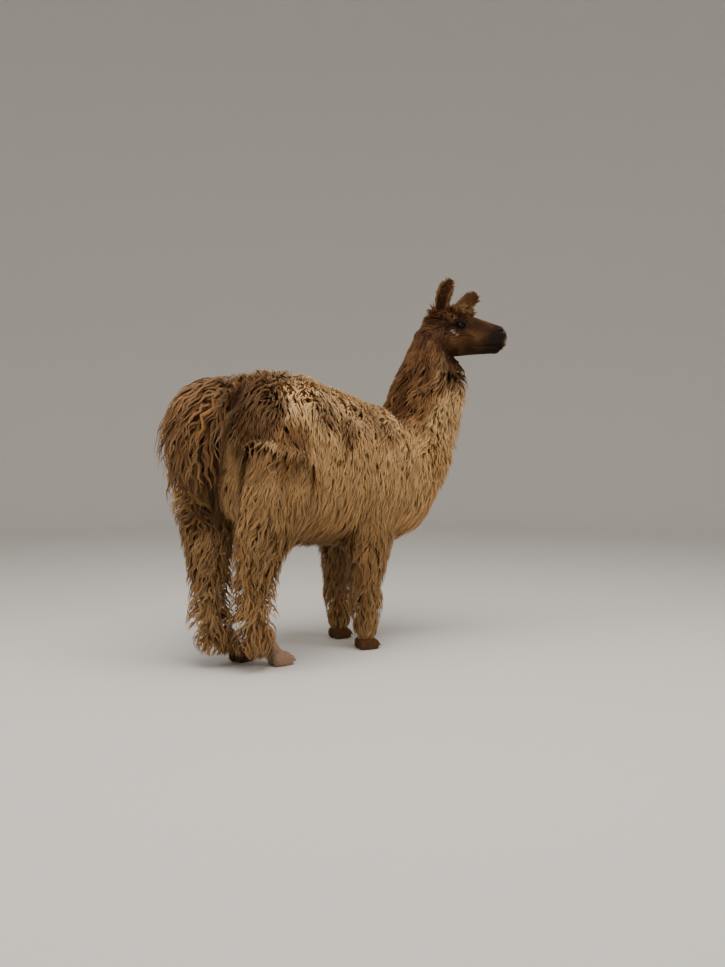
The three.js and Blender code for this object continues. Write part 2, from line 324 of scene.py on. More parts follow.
# Each foot: its place in mm, its turn in degrees, and its side of the body.
FEET = {"fore_right": (236, -124, -16, -1), "fore_left": (306, 126, -8, 1),
        "hind_right": (-226, -80, -6, -1), "hind_left": (-300, 86, 6, 1)}
LEG_CAPS = {"fore": (60, 18), "hind": (80, 22)}
TOE = 98  # mm, the length of a toe
TOE_HALF = 22
TOE_SPLIT = 0.6  # mm from the foot's middle to each toe's inner side
legs, toes = {}, {}
for corner, (x, y, turn, side) in FEET.items():
    end = corner[:4]
    build, back = (foreleg, 14) if end == "fore" else (hindleg, HOCK_SET_BACK * 0.62)
    legs[corner] = Loft(build(x, y, side), (0, 1, 0), LEG_CAPS[end])
    stand = (turned(math.radians(turn)), np.array([x, y, 0]) / 1000)
    toes[corner] = [Loft([[-back, 0, 150, 28, 29, 29, 3], [-back * 0.55, 0, 92, 26, 26, 28, 3],
                          [-TOE * 0.12, 0, 40, 36, 24, 31, 3]],
                         (0, 1, 0), (10, 12), blend=0.02, frame=stand)]
    for which in (-1, 1):
        off = which * (TOE_HALF + TOE_SPLIT)
        toes[corner].append(Loft([[-TOE * 0.34, off * 0.86, 26, TOE_HALF * 0.88, 26, 28, 2],
                                  [0, off, 28, TOE_HALF, 34, 34, 2],
                                  [TOE * 0.34, off, 18, TOE_HALF * 0.86, 24, 24, 2]],
                                 (0, 1, 0), (16, 16), square=2.4, blend=0.006, frame=stand))

BODY = [trunk, neck, head, dock, *legs.values()]
TOPKNOT = {"at": (0.100, 0.0, 0.100), "radii": (0.076, 0.054, 0.060)}


def on_head(points):
    """Points of the head's own frame, x from the poll to the nose, in the model's frame."""
    return np.asarray(points) @ head_frame[0].T + POLL + PLACE


def from_head(points):
    """Points of the model's frame in the head's own frame."""
    return (points - PLACE - POLL) @ head_frame[0]


def soft_union(a, b, blend):
    """The lower of two distances, rounded where they differ by less than `blend`."""
    h = np.maximum(blend - np.abs(a - b), 0) / blend
    return np.minimum(a, b) - h * h * blend / 4


def outline(points, flesh_lofts, fleece_lofts=()):
    """Signed distances to the flesh and to the fleece round it, and the nearest flesh."""
    flesh, fleece = [np.full(len(points), FAR, np.float32) for _ in range(2)]
    nearest = np.full(len(points), -1, np.int8)
    for k, loft in enumerate([*flesh_lofts, *[o for o in fleece_lofts if o not in flesh_lofts]]):
        near = np.flatnonzero(((points > loft.low) & (points < loft.high)).all(1))
        inner, outer = loft.reach(points[near], (1, 0))
        if loft in flesh_lofts:
            nearest[near[inner < flesh[near]]] = k
            flesh[near] = soft_union(flesh[near], np.minimum(inner, FAR), loft.blend)
        if loft in fleece_lofts:
            fleece[near] = soft_union(fleece[near], np.minimum(outer, FAR), FLEECE_BLEND)
    return flesh, fleece, nearest


class Field:
    """Values on a regular grid of points, read between them by their eight neighbours."""

    def __init__(self, low, high, step):
        self.low, self.step = np.array(low, float), step
        self.shape = tuple(np.ceil((np.array(high) - low) / step).astype(int) + 1)
        axes = [low[a] + step * np.arange(self.shape[a]) for a in range(3)]
        self.points = np.stack(np.meshgrid(*axes, indexing="ij"), -1).reshape(-1, 3)
        self.points = self.points.astype(np.float32)

    def keep(self, *values):
        """Stores values one after another for each point of the grid."""
        self.values = np.stack([v.reshape(self.shape) for v in values], -1).astype(np.float32)
        self.points = None

    def read(self, at, first=0, last=None):
        """The stored values from `first` to `last` at each point."""
        where = (at - self.low) / self.step
        i = np.clip(where.astype(int), 0, np.array(self.shape) - 2)
        f = np.clip(where - i, 0, 1)
        found, values = 0, self.values[..., first:last]
        for corner in range(8):
            dx, dy, dz = corner & 1, corner >> 1 & 1, corner >> 2 & 1
            share = np.abs(1 - dx - f[:, 0]) * np.abs(1 - dy - f[:, 1]) * np.abs(1 - dz - f[:, 2])
            found = found + share[:, None] * values[i[:, 0] + dx, i[:, 1] + dy, i[:, 2] + dz]
        return found


BODY_STEP = 0.009
body = Field((-0.72, -0.44, 0.0), (0.72, 0.44, 1.70), BODY_STEP)
FLEECE = [trunk, neck, head, tail, *legs.values()]
skin_far, coat_far, _ = outline(body.points, BODY, FLEECE)
knot = (from_head(body.points) - TOPKNOT["at"]) / TOPKNOT["radii"]
knot_rho = np.linalg.norm(knot, axis=1) + 1e-6
knot_far = np.linalg.norm(knot * TOPKNOT["radii"], axis=1) * (1 - 1 / knot_rho)
coat_far = soft_union(coat_far, np.clip(knot_far, -FAR, FAR).astype(np.float32), FLEECE_BLEND)
slope = np.gradient(skin_far.reshape(body.shape), BODY_STEP)
coat_slope = np.gradient(coat_far.reshape(body.shape), BODY_STEP)
body.keep(skin_far, coat_far, *slope, *coat_slope)

# The face, the ears and the feet are worked out on finer grids.
EYE_AT = np.array([0.119, 0.059, 0.042])  # in the head's frame, for the left eye
EYE_RADIUS = 0.0186
LID_THICK = 0.0046
EYE_SLIT = (0.0190, 0.0108)  # half length and half height of the opening between the lids
EYE_SLANT = math.radians(-8)  # the front corner lies lower
NOSTRIL = ((0.309, 0.0195, 0.047), (0.283, 0.036, 0.033))  # its slit runs between these
HEAD_STEP, FOOT_STEP = 0.0031, 0.0052
NECK_KNIT, FOOT_KNIT = 1.28, 0.200  # heights where fine and coarse nets meet
# The ears, in mm. Each: side, shift ahead of the other, lean forward and outward and turn of
# the opening in degrees, with the strength of the bow before the last.
EARS = {"right": (-1, 0, 12, 6, 1.1, 10), "left": (1, 30, 34, 3, 0.6, 20)}
EAR_LENGTH = 192
EAR_ROOT = (14, 46, 56)
EAR_WALL, EAR_FUR = 7, 5
# Along the leaf: share of its length, bow, half width and half thickness.
EAR_LEAF = ((-0.10, 0, 24, 22), (0.06, 2, 27, 22), (0.26, 8, 33, 21), (0.50, 16, 36, 17),
            (0.74, 17, 35, 13), (0.91, 8, 24, 8))


def ear_lofts(side, shift, lean, spread, bow, facing):
    """A leaf that leans forward by `lean` degrees, bows back and outward and curves in to
    its tip, and the wider leaf moved outward that hollows it and leaves a thin wall. Its
    root lies `shift` mm ahead of EAR_ROOT."""
    way = unit(np.array([math.tan(math.radians(lean)), side * math.tan(math.radians(spread)), 1]))
    root = np.array([EAR_ROOT[0] + shift, side * EAR_ROOT[1], EAR_ROOT[2]])
    left = (math.cos(math.radians(facing)), side * math.sin(math.radians(facing)), 0)
    leaf, scoop = [], []
    for share, out, width, thick in EAR_LEAF:
        bowed = root + share * EAR_LENGTH * way + [-bow * out, side * out * 0.6, 0]
        leaf.append([*bowed, width, thick, thick, EAR_FUR])
        flesh_half = thick - EAR_FUR
        bowed[1] += side * (0.3 * flesh_half + EAR_WALL)
        deep = 1.3 * flesh_half
        if share > 0:
            scoop.append([*bowed, (width - EAR_FUR) * 0.80, deep, deep, 0.5])
    return (Loft(leaf, left, (4, 8), blend=0.012, frame=head_frame),
            Loft(scoop, left, (9, 1), frame=head_frame))


ears = {name: ear_lofts(*shape) for name, shape in EARS.items()}


def bump(q, at, radii, height):
    """A smooth swelling of the given height whose Gaussian has these radii."""
    return height * np.exp(-(((q - at) / radii) ** 2).sum(1))


def step_up(x, low, high):
    """0 below `low`, 1 above `high`, and 3 t squared minus 2 t cubed between them."""
    t = np.clip((x - low) / (high - low), 0, 1)
    return t * t * (3 - 2 * t)


def segment_far(q, a, b):
    """Distance from each point to the straight line between a and b, and the share of it."""
    a, b = np.array(a), np.array(b)
    t = np.clip((q - a) @ (b - a) / ((b - a) @ (b - a)), 0, 1)
    return np.linalg.norm(q - a - t[:, None] * (b - a), axis=1), t


def mouth_height(x):
    """The line between the lips droops towards the corner of the mouth."""
    return -0.031 + 0.08 * (x - 0.28) - 0.10 * np.maximum(0.26 - x, 0)


# Swellings and hollows of the face: centre, radii and height in the head's frame.
FACE_RELIEF = [
    ((0.108, 0.058, 0.073), (0.034, 0.020, 0.012), 0.0055),  # the brow
    ((0.080, 0.074, -0.028), (0.034, 0.020, 0.030), 0.0050),  # the jaw's muscle
    ((0.158, 0.060, 0.030), (0.018, 0.020, 0.016), -0.0035),  # the tear pit
    ((0.205, 0.055, 0.030), (0.036, 0.018, 0.020), -0.0030),  # beside the nose
    ((0.286, 0.0, -0.050), (0.022, 0.022, 0.014), 0.0030),  # the chin
    ((0.328, 0.0, 0.033), (0.014, 0.030, 0.0065), -0.0040),  # below the nose's tip
    ((0.300, 0.0, 0.054), (0.018, 0.026, 0.010), 0.0025),  # the nose's tip
]
CHEEKBONE = ((0.100, 0.074, 0.008), (0.176, 0.058, 0.004))


def face(far, points):
    """Adds brow, lids, cheekbone, nostrils, mouth and chin to the distance to the head:
    ridges and grooves are Gaussians of the distance to their line."""
    q = from_head(points)
    q[:, 1] = np.abs(q[:, 1])
    x, y, z = q.T
    for at, radii, height in FACE_RELIEF:
        far = far - bump(q, at, radii, height)
    ridge, _ = segment_far(q, *CHEEKBONE)
    far = far - 0.0032 * np.exp(-((ridge / 0.010) ** 2))
    gap = z - mouth_height(x)
    shut = step_up(x, 0.222, 0.246)
    far = far + 0.0058 * shut * np.exp(-((gap / 0.0030) ** 2))
    far = far - 0.0030 * shut * np.exp(-(((gap - 0.011) / 0.008) ** 2)) * step_up(x, 0.23, 0.30)
    far = far - 0.0022 * shut * np.exp(-(((gap + 0.011) / 0.007) ** 2)) * step_up(x, 0.23, 0.28)
    cleft = np.exp(-((y / 0.0026) ** 2)) * step_up(x, 0.296, 0.31)
    far = far + 0.0046 * cleft * step_up(z, -0.032, -0.020) * (1 - step_up(z, 0.030, 0.044))
    slit, share = segment_far(q, *NOSTRIL)
    rim = np.exp(-(((slit - 0.0075) / 0.0035) ** 2))
    far = far - 0.0022 * rim * (z > 0.02)
    width = 0.0046 - 0.0022 * share
    far = np.maximum(far, -(slit - width))
    e = q - EYE_AT
    ball = np.linalg.norm(e, axis=1)
    far = soft_union(far, ball - EYE_RADIUS - LID_THICK, 0.010)
    fold = np.abs(ball - EYE_RADIUS - LID_THICK)
    ca, sa = math.cos(EYE_SLANT), math.sin(EYE_SLANT)
    u, w = ca * e[:, 0] + sa * e[:, 2], -sa * e[:, 0] + ca * e[:, 2]
    corner_round = 1.7  # 2 would make the opening an ellipse
    almond = np.abs(u / EYE_SLIT[0]) ** corner_round + np.abs(w / EYE_SLIT[1]) ** corner_round
    almond = almond ** (1 / corner_round) - 1
    crease = np.exp(-(((almond * EYE_SLIT[1] - 0.0085) / 0.0024) ** 2)) * step_up(w, -0.002, 0.008)
    far = far + 0.0013 * crease * np.exp(-((fold / 0.006) ** 2))
    near = (e[:, 1] > 0) & (ball < 0.045)
    far = np.where(near, np.maximum(far, -almond * EYE_SLIT[1]), far)
    return np.maximum(far, EYE_RADIUS + 0.0003 - ball)


def flesh(points, lofts):
    """The distance to the flesh of these lofts, and the nearest of them."""
    far, _, nearest = outline(points, lofts)
    return far, nearest


def head_flesh(points):
    """The distance to neck and head with the face's relief and the hollow ears."""
    far, _ = flesh(points, [neck, head])
    far = face(far, points)
    for leaf, scoop in ears.values():
        near = np.flatnonzero(((points > leaf.low) & (points < leaf.high)).all(1))
        cup = leaf.reach(points[near], (1,))[0]
        cup = np.maximum(cup, -scoop.reach(points[near], (0,))[0])
        far[near] = soft_union(far[near], np.minimum(cup, FAR), leaf.blend)
    return far


def foot_flesh(points, corner):
    """The distance to a leg, pastern and toes, cut level just above the floor."""
    far, _ = flesh(points, [legs[corner], *toes[corner]])
    return np.maximum(far, 0.0003 - points[:, 2])


def surface_net(field, low=-1.0, high=9.0):
    """The zero surface of a field: one point in each cell that it crosses, at the mean of
    its crossings of the cell's edges, and one quad round each crossed edge between cells."""
    values = field.values[..., 0]
    inside = values < 0
    cells = tuple(n - 1 for n in field.shape)
    rings, crossings, flips = [], [], []
    for axis in range(3):
        others = [a for a in range(3) if a != axis]
        here, there = [slice(None)] * 3, [slice(None)] * 3
        here[axis], there[axis] = slice(0, -1), slice(1, None)
        here, there = tuple(here), tuple(there)
        at = np.argwhere(inside[here] != inside[there])
        a, b = values[here][tuple(at.T)], values[there][tuple(at.T)]
        cross = at.astype(np.float32)
        cross[:, axis] += a / (a - b)
        ring = np.repeat(at[:, None], 4, 1)
        ring[:, :, others[0]] -= [0, 1, 1, 0]
        ring[:, :, others[1]] -= [0, 0, 1, 1]
        within = ((ring >= 0) & (ring < cells)).all((1, 2))
        rings.append(ring[within])
        crossings.append(cross[within])
        flips.append(((a < 0) == (axis == 1))[within])
    ring, cross = np.concatenate(rings), np.concatenate(crossings)
    flat = np.ravel_multi_index(tuple(np.moveaxis(ring, 2, 0)), cells)
    used, faces = np.unique(flat, return_inverse=True)
    faces = faces.reshape(-1, 4)
    count = np.bincount(faces.ravel(), minlength=len(used))
    points = np.stack([np.bincount(faces.ravel(), np.repeat(cross[:, a], 4)) / count
                       for a in range(3)], 1)
    flip = np.concatenate(flips)
    faces = np.where(flip[:, None], faces[:, ::-1], faces)
    height = field.low[2] + (ring[..., 2] + 0.5) * field.step
    faces = faces[(height > low).all(1) & (height < high).all(1)]
    kept, faces = np.unique(faces, return_inverse=True)
    return points[kept] * field.step + field.low, faces.reshape(-1, 4)


def fine_net(low, high, step, distance, knit, above):
    """The net of a finer field on one side of a height. Far from the coarse surface the
    coarse field serves, apart from what it leaves out: the feet and the ears."""
    field = Field(low, high, step)
    coarse = body.read(field.points, 0, 1)[:, 0].astype(np.float32)
    left_out = field.points[:, 2] > ear_floor if above else field.points[:, 2] < FOOT_KNIT + 0.03
    near = np.flatnonzero((np.abs(coarse) < 0.03) | left_out)
    coarse[near] = distance(field.points[near])
    field.keep(coarse)
    return surface_net(field, *((knit, 9) if above else (-1, knit)))


def node_box(*names):
    """The lowest and highest corner of the box round these CAD nodes."""
    boxes = [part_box(name) for name in names]
    return np.min([b[0] for b in boxes], 0), np.max([b[1] for b in boxes], 0)


head_low, head_high = node_box("head", "ear_right", "ear_left")
ear_floor = on_head([np.array(EAR_ROOT) / 1000])[0][2] - 0.03
throat = neck.centre[neck.centre[:, 2] > NECK_KNIT - 0.05]
head_low = np.minimum(head_low, throat.min(0) - 0.15)
head_high = np.maximum(head_high, throat.max(0) + 0.15)
head_low[2] = NECK_KNIT - 0.03
nets = [surface_net(body, FOOT_KNIT + 0.008, NECK_KNIT - 0.008)]
nets.append(fine_net(head_low - 0.004, head_high + 0.006, HEAD_STEP, head_flesh, NECK_KNIT, True))
for corner in FEET:
    foot_low, foot_high = node_box("foot_" + corner)
    shank = legs[corner].centre[legs[corner].centre[:, 2] < FOOT_KNIT + 0.05]
    foot_low = np.minimum(foot_low, shank.min(0) - 0.08)
    foot_high = np.maximum(foot_high, shank.max(0) + 0.08)
    foot_low[2], foot_high[2] = -0.01, FOOT_KNIT + 0.012
    nets.append(fine_net(foot_low - 0.004, foot_high + 0.004, FOOT_STEP,
                         lambda p: foot_flesh(p, corner), FOOT_KNIT, False))
first = np.cumsum([0] + [len(net[0]) for net in nets])
skin = mesh_object("skin", np.concatenate([net[0] for net in nets]),
                   np.concatenate([net[1] + k for net, k in zip(nets, first)]))


def knit(mesh, height, around=None):
    """Joins the two open rims that face each other at a height with a strip of faces."""
    edges = [e for e in mesh.edges if e.is_boundary
             and abs(e.verts[0].co.z - height) < 0.03
             and (around is None or (e.verts[0].co.xy - around).length < 0.15)]
    bmesh.ops.bridge_loops(mesh, edges=edges)


mesh = bmesh.new()
mesh.from_mesh(skin.data)
knit(mesh, NECK_KNIT)
for corner in FEET:
    knit(mesh, FOOT_KNIT, Vector(legs[corner].centre[-1][:2].tolist()))
mesh.to_mesh(skin.data)
mesh.free()
skin.data.polygons.foreach_set("use_smooth", [True] * len(skin.data.polygons))

# The hide and the coat share their markings: cream, with a dark brown head and mane, a brown
# saddle over the croup that runs down the rump, scattered brown patches on back and
# shoulder, and golden-brown legs. Painted shade darkens the insides of the legs, the belly,
# the left thigh's hollow and the eye sockets, and a painted highlight lightens the nose's tip.
CREAM = (0.55, 0.308, 0.127)
PALE = (0.73, 0.460, 0.215)
GOLD = (0.235, 0.122, 0.045)
BROWN = (0.084, 0.034, 0.0135)
TAWNY = (0.185, 0.082, 0.029)
DARK = (0.034, 0.0125, 0.0040)
MUZZLE = (0.008, 0.0040, 0.0030)
WHITE = (0.55, 0.43, 0.31)
PINK = (0.42, 0.26, 0.18)
THROAT = (0.060, 0.024, 0.009)
LIPS = (0.008, 0.005, 0.005)

# Each patch: centre and radii in metres, colour, strength, and how ragged its edge is.
PATCHES = [
    # the saddle over the croup, and its streaks down the right and left of the rump
    ((-0.40, 0.10, 1.22), (0.22, 0.26, 0.085), BROWN, 0.80, 0.30),
    ((-0.44, 0.00, 1.03), (0.115, 0.15, 0.20), BROWN, 0.92, 0.35),
    ((-0.50, -0.06, 0.84), (0.055, 0.10, 0.13), BROWN, 0.60, 0.45),
    ((-0.37, -0.17, 0.90), (0.110, 0.12, 0.130), TAWNY, 0.85, 0.60),
    ((-0.42, 0.34, 1.02), (0.16, 0.12, 0.20), BROWN, 0.85, 0.35),
    # the back's right side
    ((-0.165, -0.105, 1.035), (0.070, 0.09, 0.060), BROWN, 0.72, 0.32),
    ((-0.055, -0.125, 0.965), (0.055, 0.09, 0.085), BROWN, 0.70, 0.35),
    ((0.095, -0.080, 1.060), (0.100, 0.08, 0.042), TAWNY, 0.45, 0.40),
    ((0.180, -0.110, 0.980), (0.075, 0.10, 0.080), BROWN, 0.55, 0.40),
    ((-0.05, 0.02, 1.13), (0.18, 0.08, 0.05), TAWNY, 0.25, 0.50),
    # the back's left side
    ((-0.02, 0.37, 0.98), (0.13, 0.10, 0.10), BROWN, 0.80, 0.45),
    ((0.17, 0.33, 0.96), (0.070, 0.10, 0.110), BROWN, 0.75, 0.45),
    ((-0.19, 0.38, 0.83), (0.060, 0.10, 0.060), TAWNY, 0.70, 0.45),
    # the thighs, a little darker than the flanks
    ((-0.38, -0.10, 0.70), (0.20, 0.25, 0.22), GOLD, 0.55, 0.30),
    ((-0.42, 0.34, 0.70), (0.20, 0.20, 0.22), GOLD, 0.55, 0.30),
    # the mane's end over the withers
    ((0.33, 0.08, 1.11), (0.10, 0.15, 0.09), TAWNY, 0.75, 0.50),
    # painted shade: darker brown in the left thigh's hollow, inside the legs and under the belly
    ((-0.52, 0.27, 0.60), (0.17, 0.15, 0.09), BROWN, 0.75, 0.35),
    ((0.25, 0.27, 0.40), (0.13, 0.09, 0.24), BROWN, 0.65, 0.40),
    ((-0.02, 0.13, 0.50), (0.40, 0.16, 0.10), TAWNY, 0.55, 0.35),
    ((0.22, 0.10, 0.47), (0.10, 0.10, 0.18), BROWN, 0.45, 0.40),
]


def grain(points, size, seed):
    """Smooth noise from -1 to 1 on a lattice of this size, from hashed corner values."""
    p = np.asarray(points) / size + 71.3
    i = np.floor(p)
    f = p - i
    f = f * f * (3 - 2 * f)
    found = 0
    for corner in range(8):
        d = np.array([corner & 1, corner >> 1 & 1, corner >> 2 & 1])
        c = i + d
        h = np.sin(c[:, 0] * 12.9898 + c[:, 1] * 78.233 + c[:, 2] * 37.719 + seed * 5.31) * 43758.5453
        share = np.abs(1 - d - f).prod(1)
        found = found + share * ((h - np.floor(h)) * 2 - 1)
    return found


# Soft spots on the face: centre and radii in the head's frame, colour and strength.
FACE_SPOTS = [
    ((0.10, 0.075, -0.035), (0.06, 0.05, 0.035), TAWNY, 0.50),  # the cheek
    ((0.205, 0.055, 0.005), (0.045, 0.03, 0.026), TAWNY, 0.42),  # beside the nose
    ((0.095, 0.06, 0.080), (0.04, 0.03, 0.012), TAWNY, 0.35),  # the brow
    ((0.20, 0, 0.085), (0.10, 0.018, 0.03), TAWNY, 0.25),  # the bridge of the nose
    # painted shade: the socket round the eye is darkened under the brow
    ((0.116, 0.075, 0.034), (0.046, 0.04, 0.028), MUZZLE, 0.92),  # round the eye
]
# The nose's tip is pale, partly a pale snip and partly a painted highlight: centre and radii.
NOSE_SNIP_AND_HIGHLIGHT = [((0.316, 0.0, 0.049), (0.010, 0.030, 0.012)),
             ((0.327, 0.0, -0.004), (0.007, 0.024, 0.018))]
EYE_STREAK = ((0.096, 0.08, 0.012), (0.122, 0.075, -0.006))


def mixed(colour, other, share):
    """Colours moved towards another colour by a share for each row."""
    return colour + (np.array(other) - colour) * share[:, None]


# The numbers of the lofts in BODY: the first leg is LEGS_FROM.
ON_TRUNK, ON_NECK, ON_HEAD, ON_DOCK, LEGS_FROM = range(5)
# Heights over which one marking passes into another.
BACK_PALER, LEGS_GOLDEN = (0.90, 1.06), (0.42, 0.80)
FEET_DARK, FOOT_PALE = (0.085, 0.135), (0.12, 0.15)
MANE_FROM, FRONT_PALER, THROAT_DARK = (0.93, 1.05), (0.85, 1.05), (1.115, 1.215)
LOCKS_FROM, LOCKS_TO = (1.06, 1.13), (1.24, 1.30)  # pale locks down the side of the neck


def markings_and_painted_light(points, nearest):
    """The coat's colour at points on the skin, whose nearest loft of the body is known; it holds
    painted shade and a painted highlight.
    """
    x, y, z = points.T
    wide, fine = grain(points, 0.075, 1), grain(points, 0.022, 2)
    colour = np.tile(np.array(CREAM), (len(points), 1))
    colour = colour * (1 + 0.10 * wide + 0.08 * fine)[:, None]
    colour = mixed(colour, PALE, 0.62 * step_up(z, *BACK_PALER) * (nearest == ON_TRUNK))
    ragged = 0.6 * wide + 0.4 * fine
    for at, radii, tint, strength, rough in PATCHES:
        rho = np.linalg.norm((points - at) / radii, axis=1) + rough * ragged
        colour = mixed(colour, tint, strength * (1 - step_up(rho, 0.75, 1.15)))
    # legs turn golden downwards, with brown streaks, and the feet are dark
    on_leg = nearest >= LEGS_FROM
    low = (1 - step_up(z + 0.05 * wide, *LEGS_GOLDEN)) * (nearest != ON_NECK)
    colour = mixed(colour, GOLD, 0.80 * low)
    colour = mixed(colour, BROWN, 0.35 * on_leg * (ragged > 0.35) * low)
    dark_foot = 1 - step_up(z + 0.012 * wide, *FEET_DARK)
    hind_right = (y < 0.12) & (x < -0.15)
    colour = mixed(colour, BROWN, 0.85 * dark_foot * ~hind_right)
    pale_foot = (1 - step_up(z + 0.015 * wide, *FOOT_PALE)) * hind_right
    colour = mixed(colour, PINK, 0.85 * pale_foot)
    # the tail is brown to its end
    colour = mixed(colour, BROWN, 0.90 * (nearest == ON_DOCK) * (0.85 + 0.15 * fine))
    # neck: the mane is brown behind a line down its side, the front and chest are pale
    _, _, side, up = neck.offsets(points)
    round_front = np.arctan2(-side, -up)  # 0 in front, +90 degrees on the right
    front = np.abs(round_front) - np.radians(86) + 0.30 * ragged
    behind = step_up(front, -0.25, 0.25)
    on_neck = (nearest == ON_NECK) & (z > 0.6)
    mane = on_neck * behind * step_up(z + 0.05 * wide, *MANE_FROM)
    colour = mixed(colour, PALE, on_neck * (1 - behind) * (0.08 + 0.72 * step_up(z, *FRONT_PALER)))
    colour = mixed(colour, TAWNY, mane * 0.82)
    streaks = grain(points * [1, 1, 0.25], 0.020, 4)
    colour = mixed(colour, BROWN, mane * step_up(streaks + 0.25, -0.1, 0.5) * 0.92)
    throat = np.maximum(on_neck, nearest == ON_HEAD) * step_up(z + 0.035 * ragged, *THROAT_DARK)
    colour = mixed(colour, THROAT, throat * 0.97 * (0.45 + 0.55 * (1 - behind)))
    locks = on_neck * np.exp(-(((np.abs(round_front) - 1.62) / 0.20) ** 2)) * (streaks > -0.35)
    locks = locks * step_up(z, *LOCKS_FROM) * (1 - step_up(z, *LOCKS_TO))
    colour = mixed(colour, CREAM, 0.60 * locks)
    # head: dark brown, blacker to the muzzle, tan cheeks, eye streak, painted shade round the eye,
    # and a pale snip and painted highlight on the nose's tip
    q = from_head(points)
    of_head = (nearest == ON_HEAD) | (q[:, 2] > 0.06) | (q[:, 0] > 0.10) & (q[:, 2] > -0.14)
    ear = (q[:, 2] > 0.095) & (q[:, 0] < 0.10 + 0.8 * (q[:, 2] - 0.1))
    face_tone = mixed(np.tile(np.array(DARK), (len(q), 1)), TAWNY,
                      np.clip(0.10 + 0.35 * grain(q, 0.03, 6), 0, 0.4))
    q[:, 1] = np.abs(q[:, 1])
    for at, radii, tint, strength in FACE_SPOTS:
        face_tone = mixed(face_tone, tint, bump(q, at, radii, strength))
    snout = step_up(q[:, 0] - 0.5 * q[:, 2] + 0.012 * grain(q, 0.02, 7), 0.215, 0.275)
    face_tone = mixed(face_tone, MUZZLE, 0.85 * snout)
    # painted highlight, partly a pale snip: the front of the nose's tip is lightened
    rims = sum(bump(q, at, radii, 1) for at, radii in NOSE_SNIP_AND_HIGHLIGHT)
    face_tone = mixed(face_tone, WHITE, 0.80 * np.clip(rims, 0, 1))
    face_tone = face_tone * (1 + 0.25 * grain(q * [0.4, 1, 1], 0.005, 9))[:, None]
    streak, _ = segment_far(q, *EYE_STREAK)
    ragged_streak = step_up(streak + 0.001 * grain(q, 0.006, 8), 0.0045, 0.0090)
    face_tone = mixed(face_tone, WHITE, 0.90 * (1 - ragged_streak))
    outer_ear = mixed(np.tile(np.array(BROWN), (len(q), 1)), TAWNY, 0.35 + 0.35 * fine)
    face_tone = np.where(ear[:, None], outer_ear, face_tone)
    slot_line, _ = segment_far(q, *NOSTRIL)
    opening = (1 - step_up(slot_line, 0.004, 0.0065)) * (q[:, 0] > 0.2)
    lip_line = (q[:, 2] - mouth_height(q[:, 0])) / 0.0035
    lips = step_up(q[:, 0], 0.195, 0.21) * np.exp(-(lip_line**2))
    face_tone = mixed(face_tone, LIPS, np.maximum(opening, 0.85 * lips))
    colour = np.where(of_head[:, None], face_tone, colour)
    return np.clip(colour, 0.003, 0.9)


def paint(made, name, colours):
    """Keeps a colour for each point of a mesh."""
    layer = made.data.color_attributes.new(name, "FLOAT_COLOR", "POINT")
    filled = np.ones((len(colours), 4), np.float32)
    filled[:, :3] = colours
    layer.data.foreach_set("color", filled.ravel())


def each_point(made, value):
    """One vector for each point of a mesh: "co" is its place, "normal" its normal."""
    found = np.empty(len(made.data.vertices) * 3, np.float32)
    made.data.vertices.foreach_get(value, found)
    return found.reshape(-1, 3)


hide = each_point(skin, "co")
hide_normals = each_point(skin, "normal")
_, hide_part = flesh(hide, BODY)
hide_colour = markings_and_painted_light(hide, hide_part)
q = from_head(hide)
q[:, 1] = np.abs(q[:, 1])
lid = np.abs(np.linalg.norm(q - EYE_AT, axis=1) - EYE_RADIUS - LID_THICK / 2) < 0.006
face_skin = (q[:, 0] > 0.05) & (q[:, 2] > -0.13)
# the hide is darker than the hair on it, and darkest on the lids
bare = hide_colour * np.where(face_skin, 0.85, 0.80)[:, None]
bare[lid] *= 0.45
paint(skin, "hide", bare)


def link(tree, a, out, b, into):
    """Joins an output of one node to an input of another."""
    tree.links.new(a.outputs[out], b.inputs[into])


def add(tree, kind, **values):
    """A new node of this kind, with values for its inputs, whose spaces are written as _."""
    made = tree.nodes.new("ShaderNode" + kind)
    for name, value in values.items():
        made.inputs[name.replace("_", " ")].default_value = value
    return made


def fibre_group():
    """The effect of fine fibres, for hide and wool. Noise along a stretched vector is spread
    from `Dark` to `Light` and multiplies the colour, and its height raises a bump."""
    group = bpy.data.node_groups.new("fibres", "ShaderNodeTree")
    for name, kind in (("Colour", "NodeSocketColor"), ("Vector", "NodeSocketVector"),
                       ("Detail", "NodeSocketFloat"), ("Low", "NodeSocketFloat"),
                       ("High", "NodeSocketFloat"), ("Dark", "NodeSocketFloat"),
                       ("Light", "NodeSocketFloat")):
        group.interface.new_socket(name, in_out="INPUT", socket_type=kind)
    group.interface.new_socket("Colour", in_out="OUTPUT", socket_type="NodeSocketColor")
    group.interface.new_socket("Height", in_out="OUTPUT", socket_type="NodeSocketFloat")
    given = group.nodes.new("NodeGroupInput")
    result = group.nodes.new("NodeGroupOutput")
    noise = add(group, "TexNoise", Scale=1.0)
    spread = add(group, "MapRange")
    tone = group.nodes.new("ShaderNodeVectorMath")
    tone.operation = "SCALE"
    link(group, given, "Vector", noise, "Vector")
    link(group, given, "Detail", noise, "Detail")
    link(group, noise, "Fac", spread, "Value")
    for ours, theirs in (("Low", "From Min"), ("High", "From Max"),
                         ("Dark", "To Min"), ("Light", "To Max")):
        link(group, given, ours, spread, theirs)
    link(group, given, "Colour", tone, 0)
    link(group, spread, "Result", tone, "Scale")
    link(group, tone, "Vector", result, "Colour")
    link(group, noise, "Fac", result, "Height")
    return group


FIBRES = fibre_group()


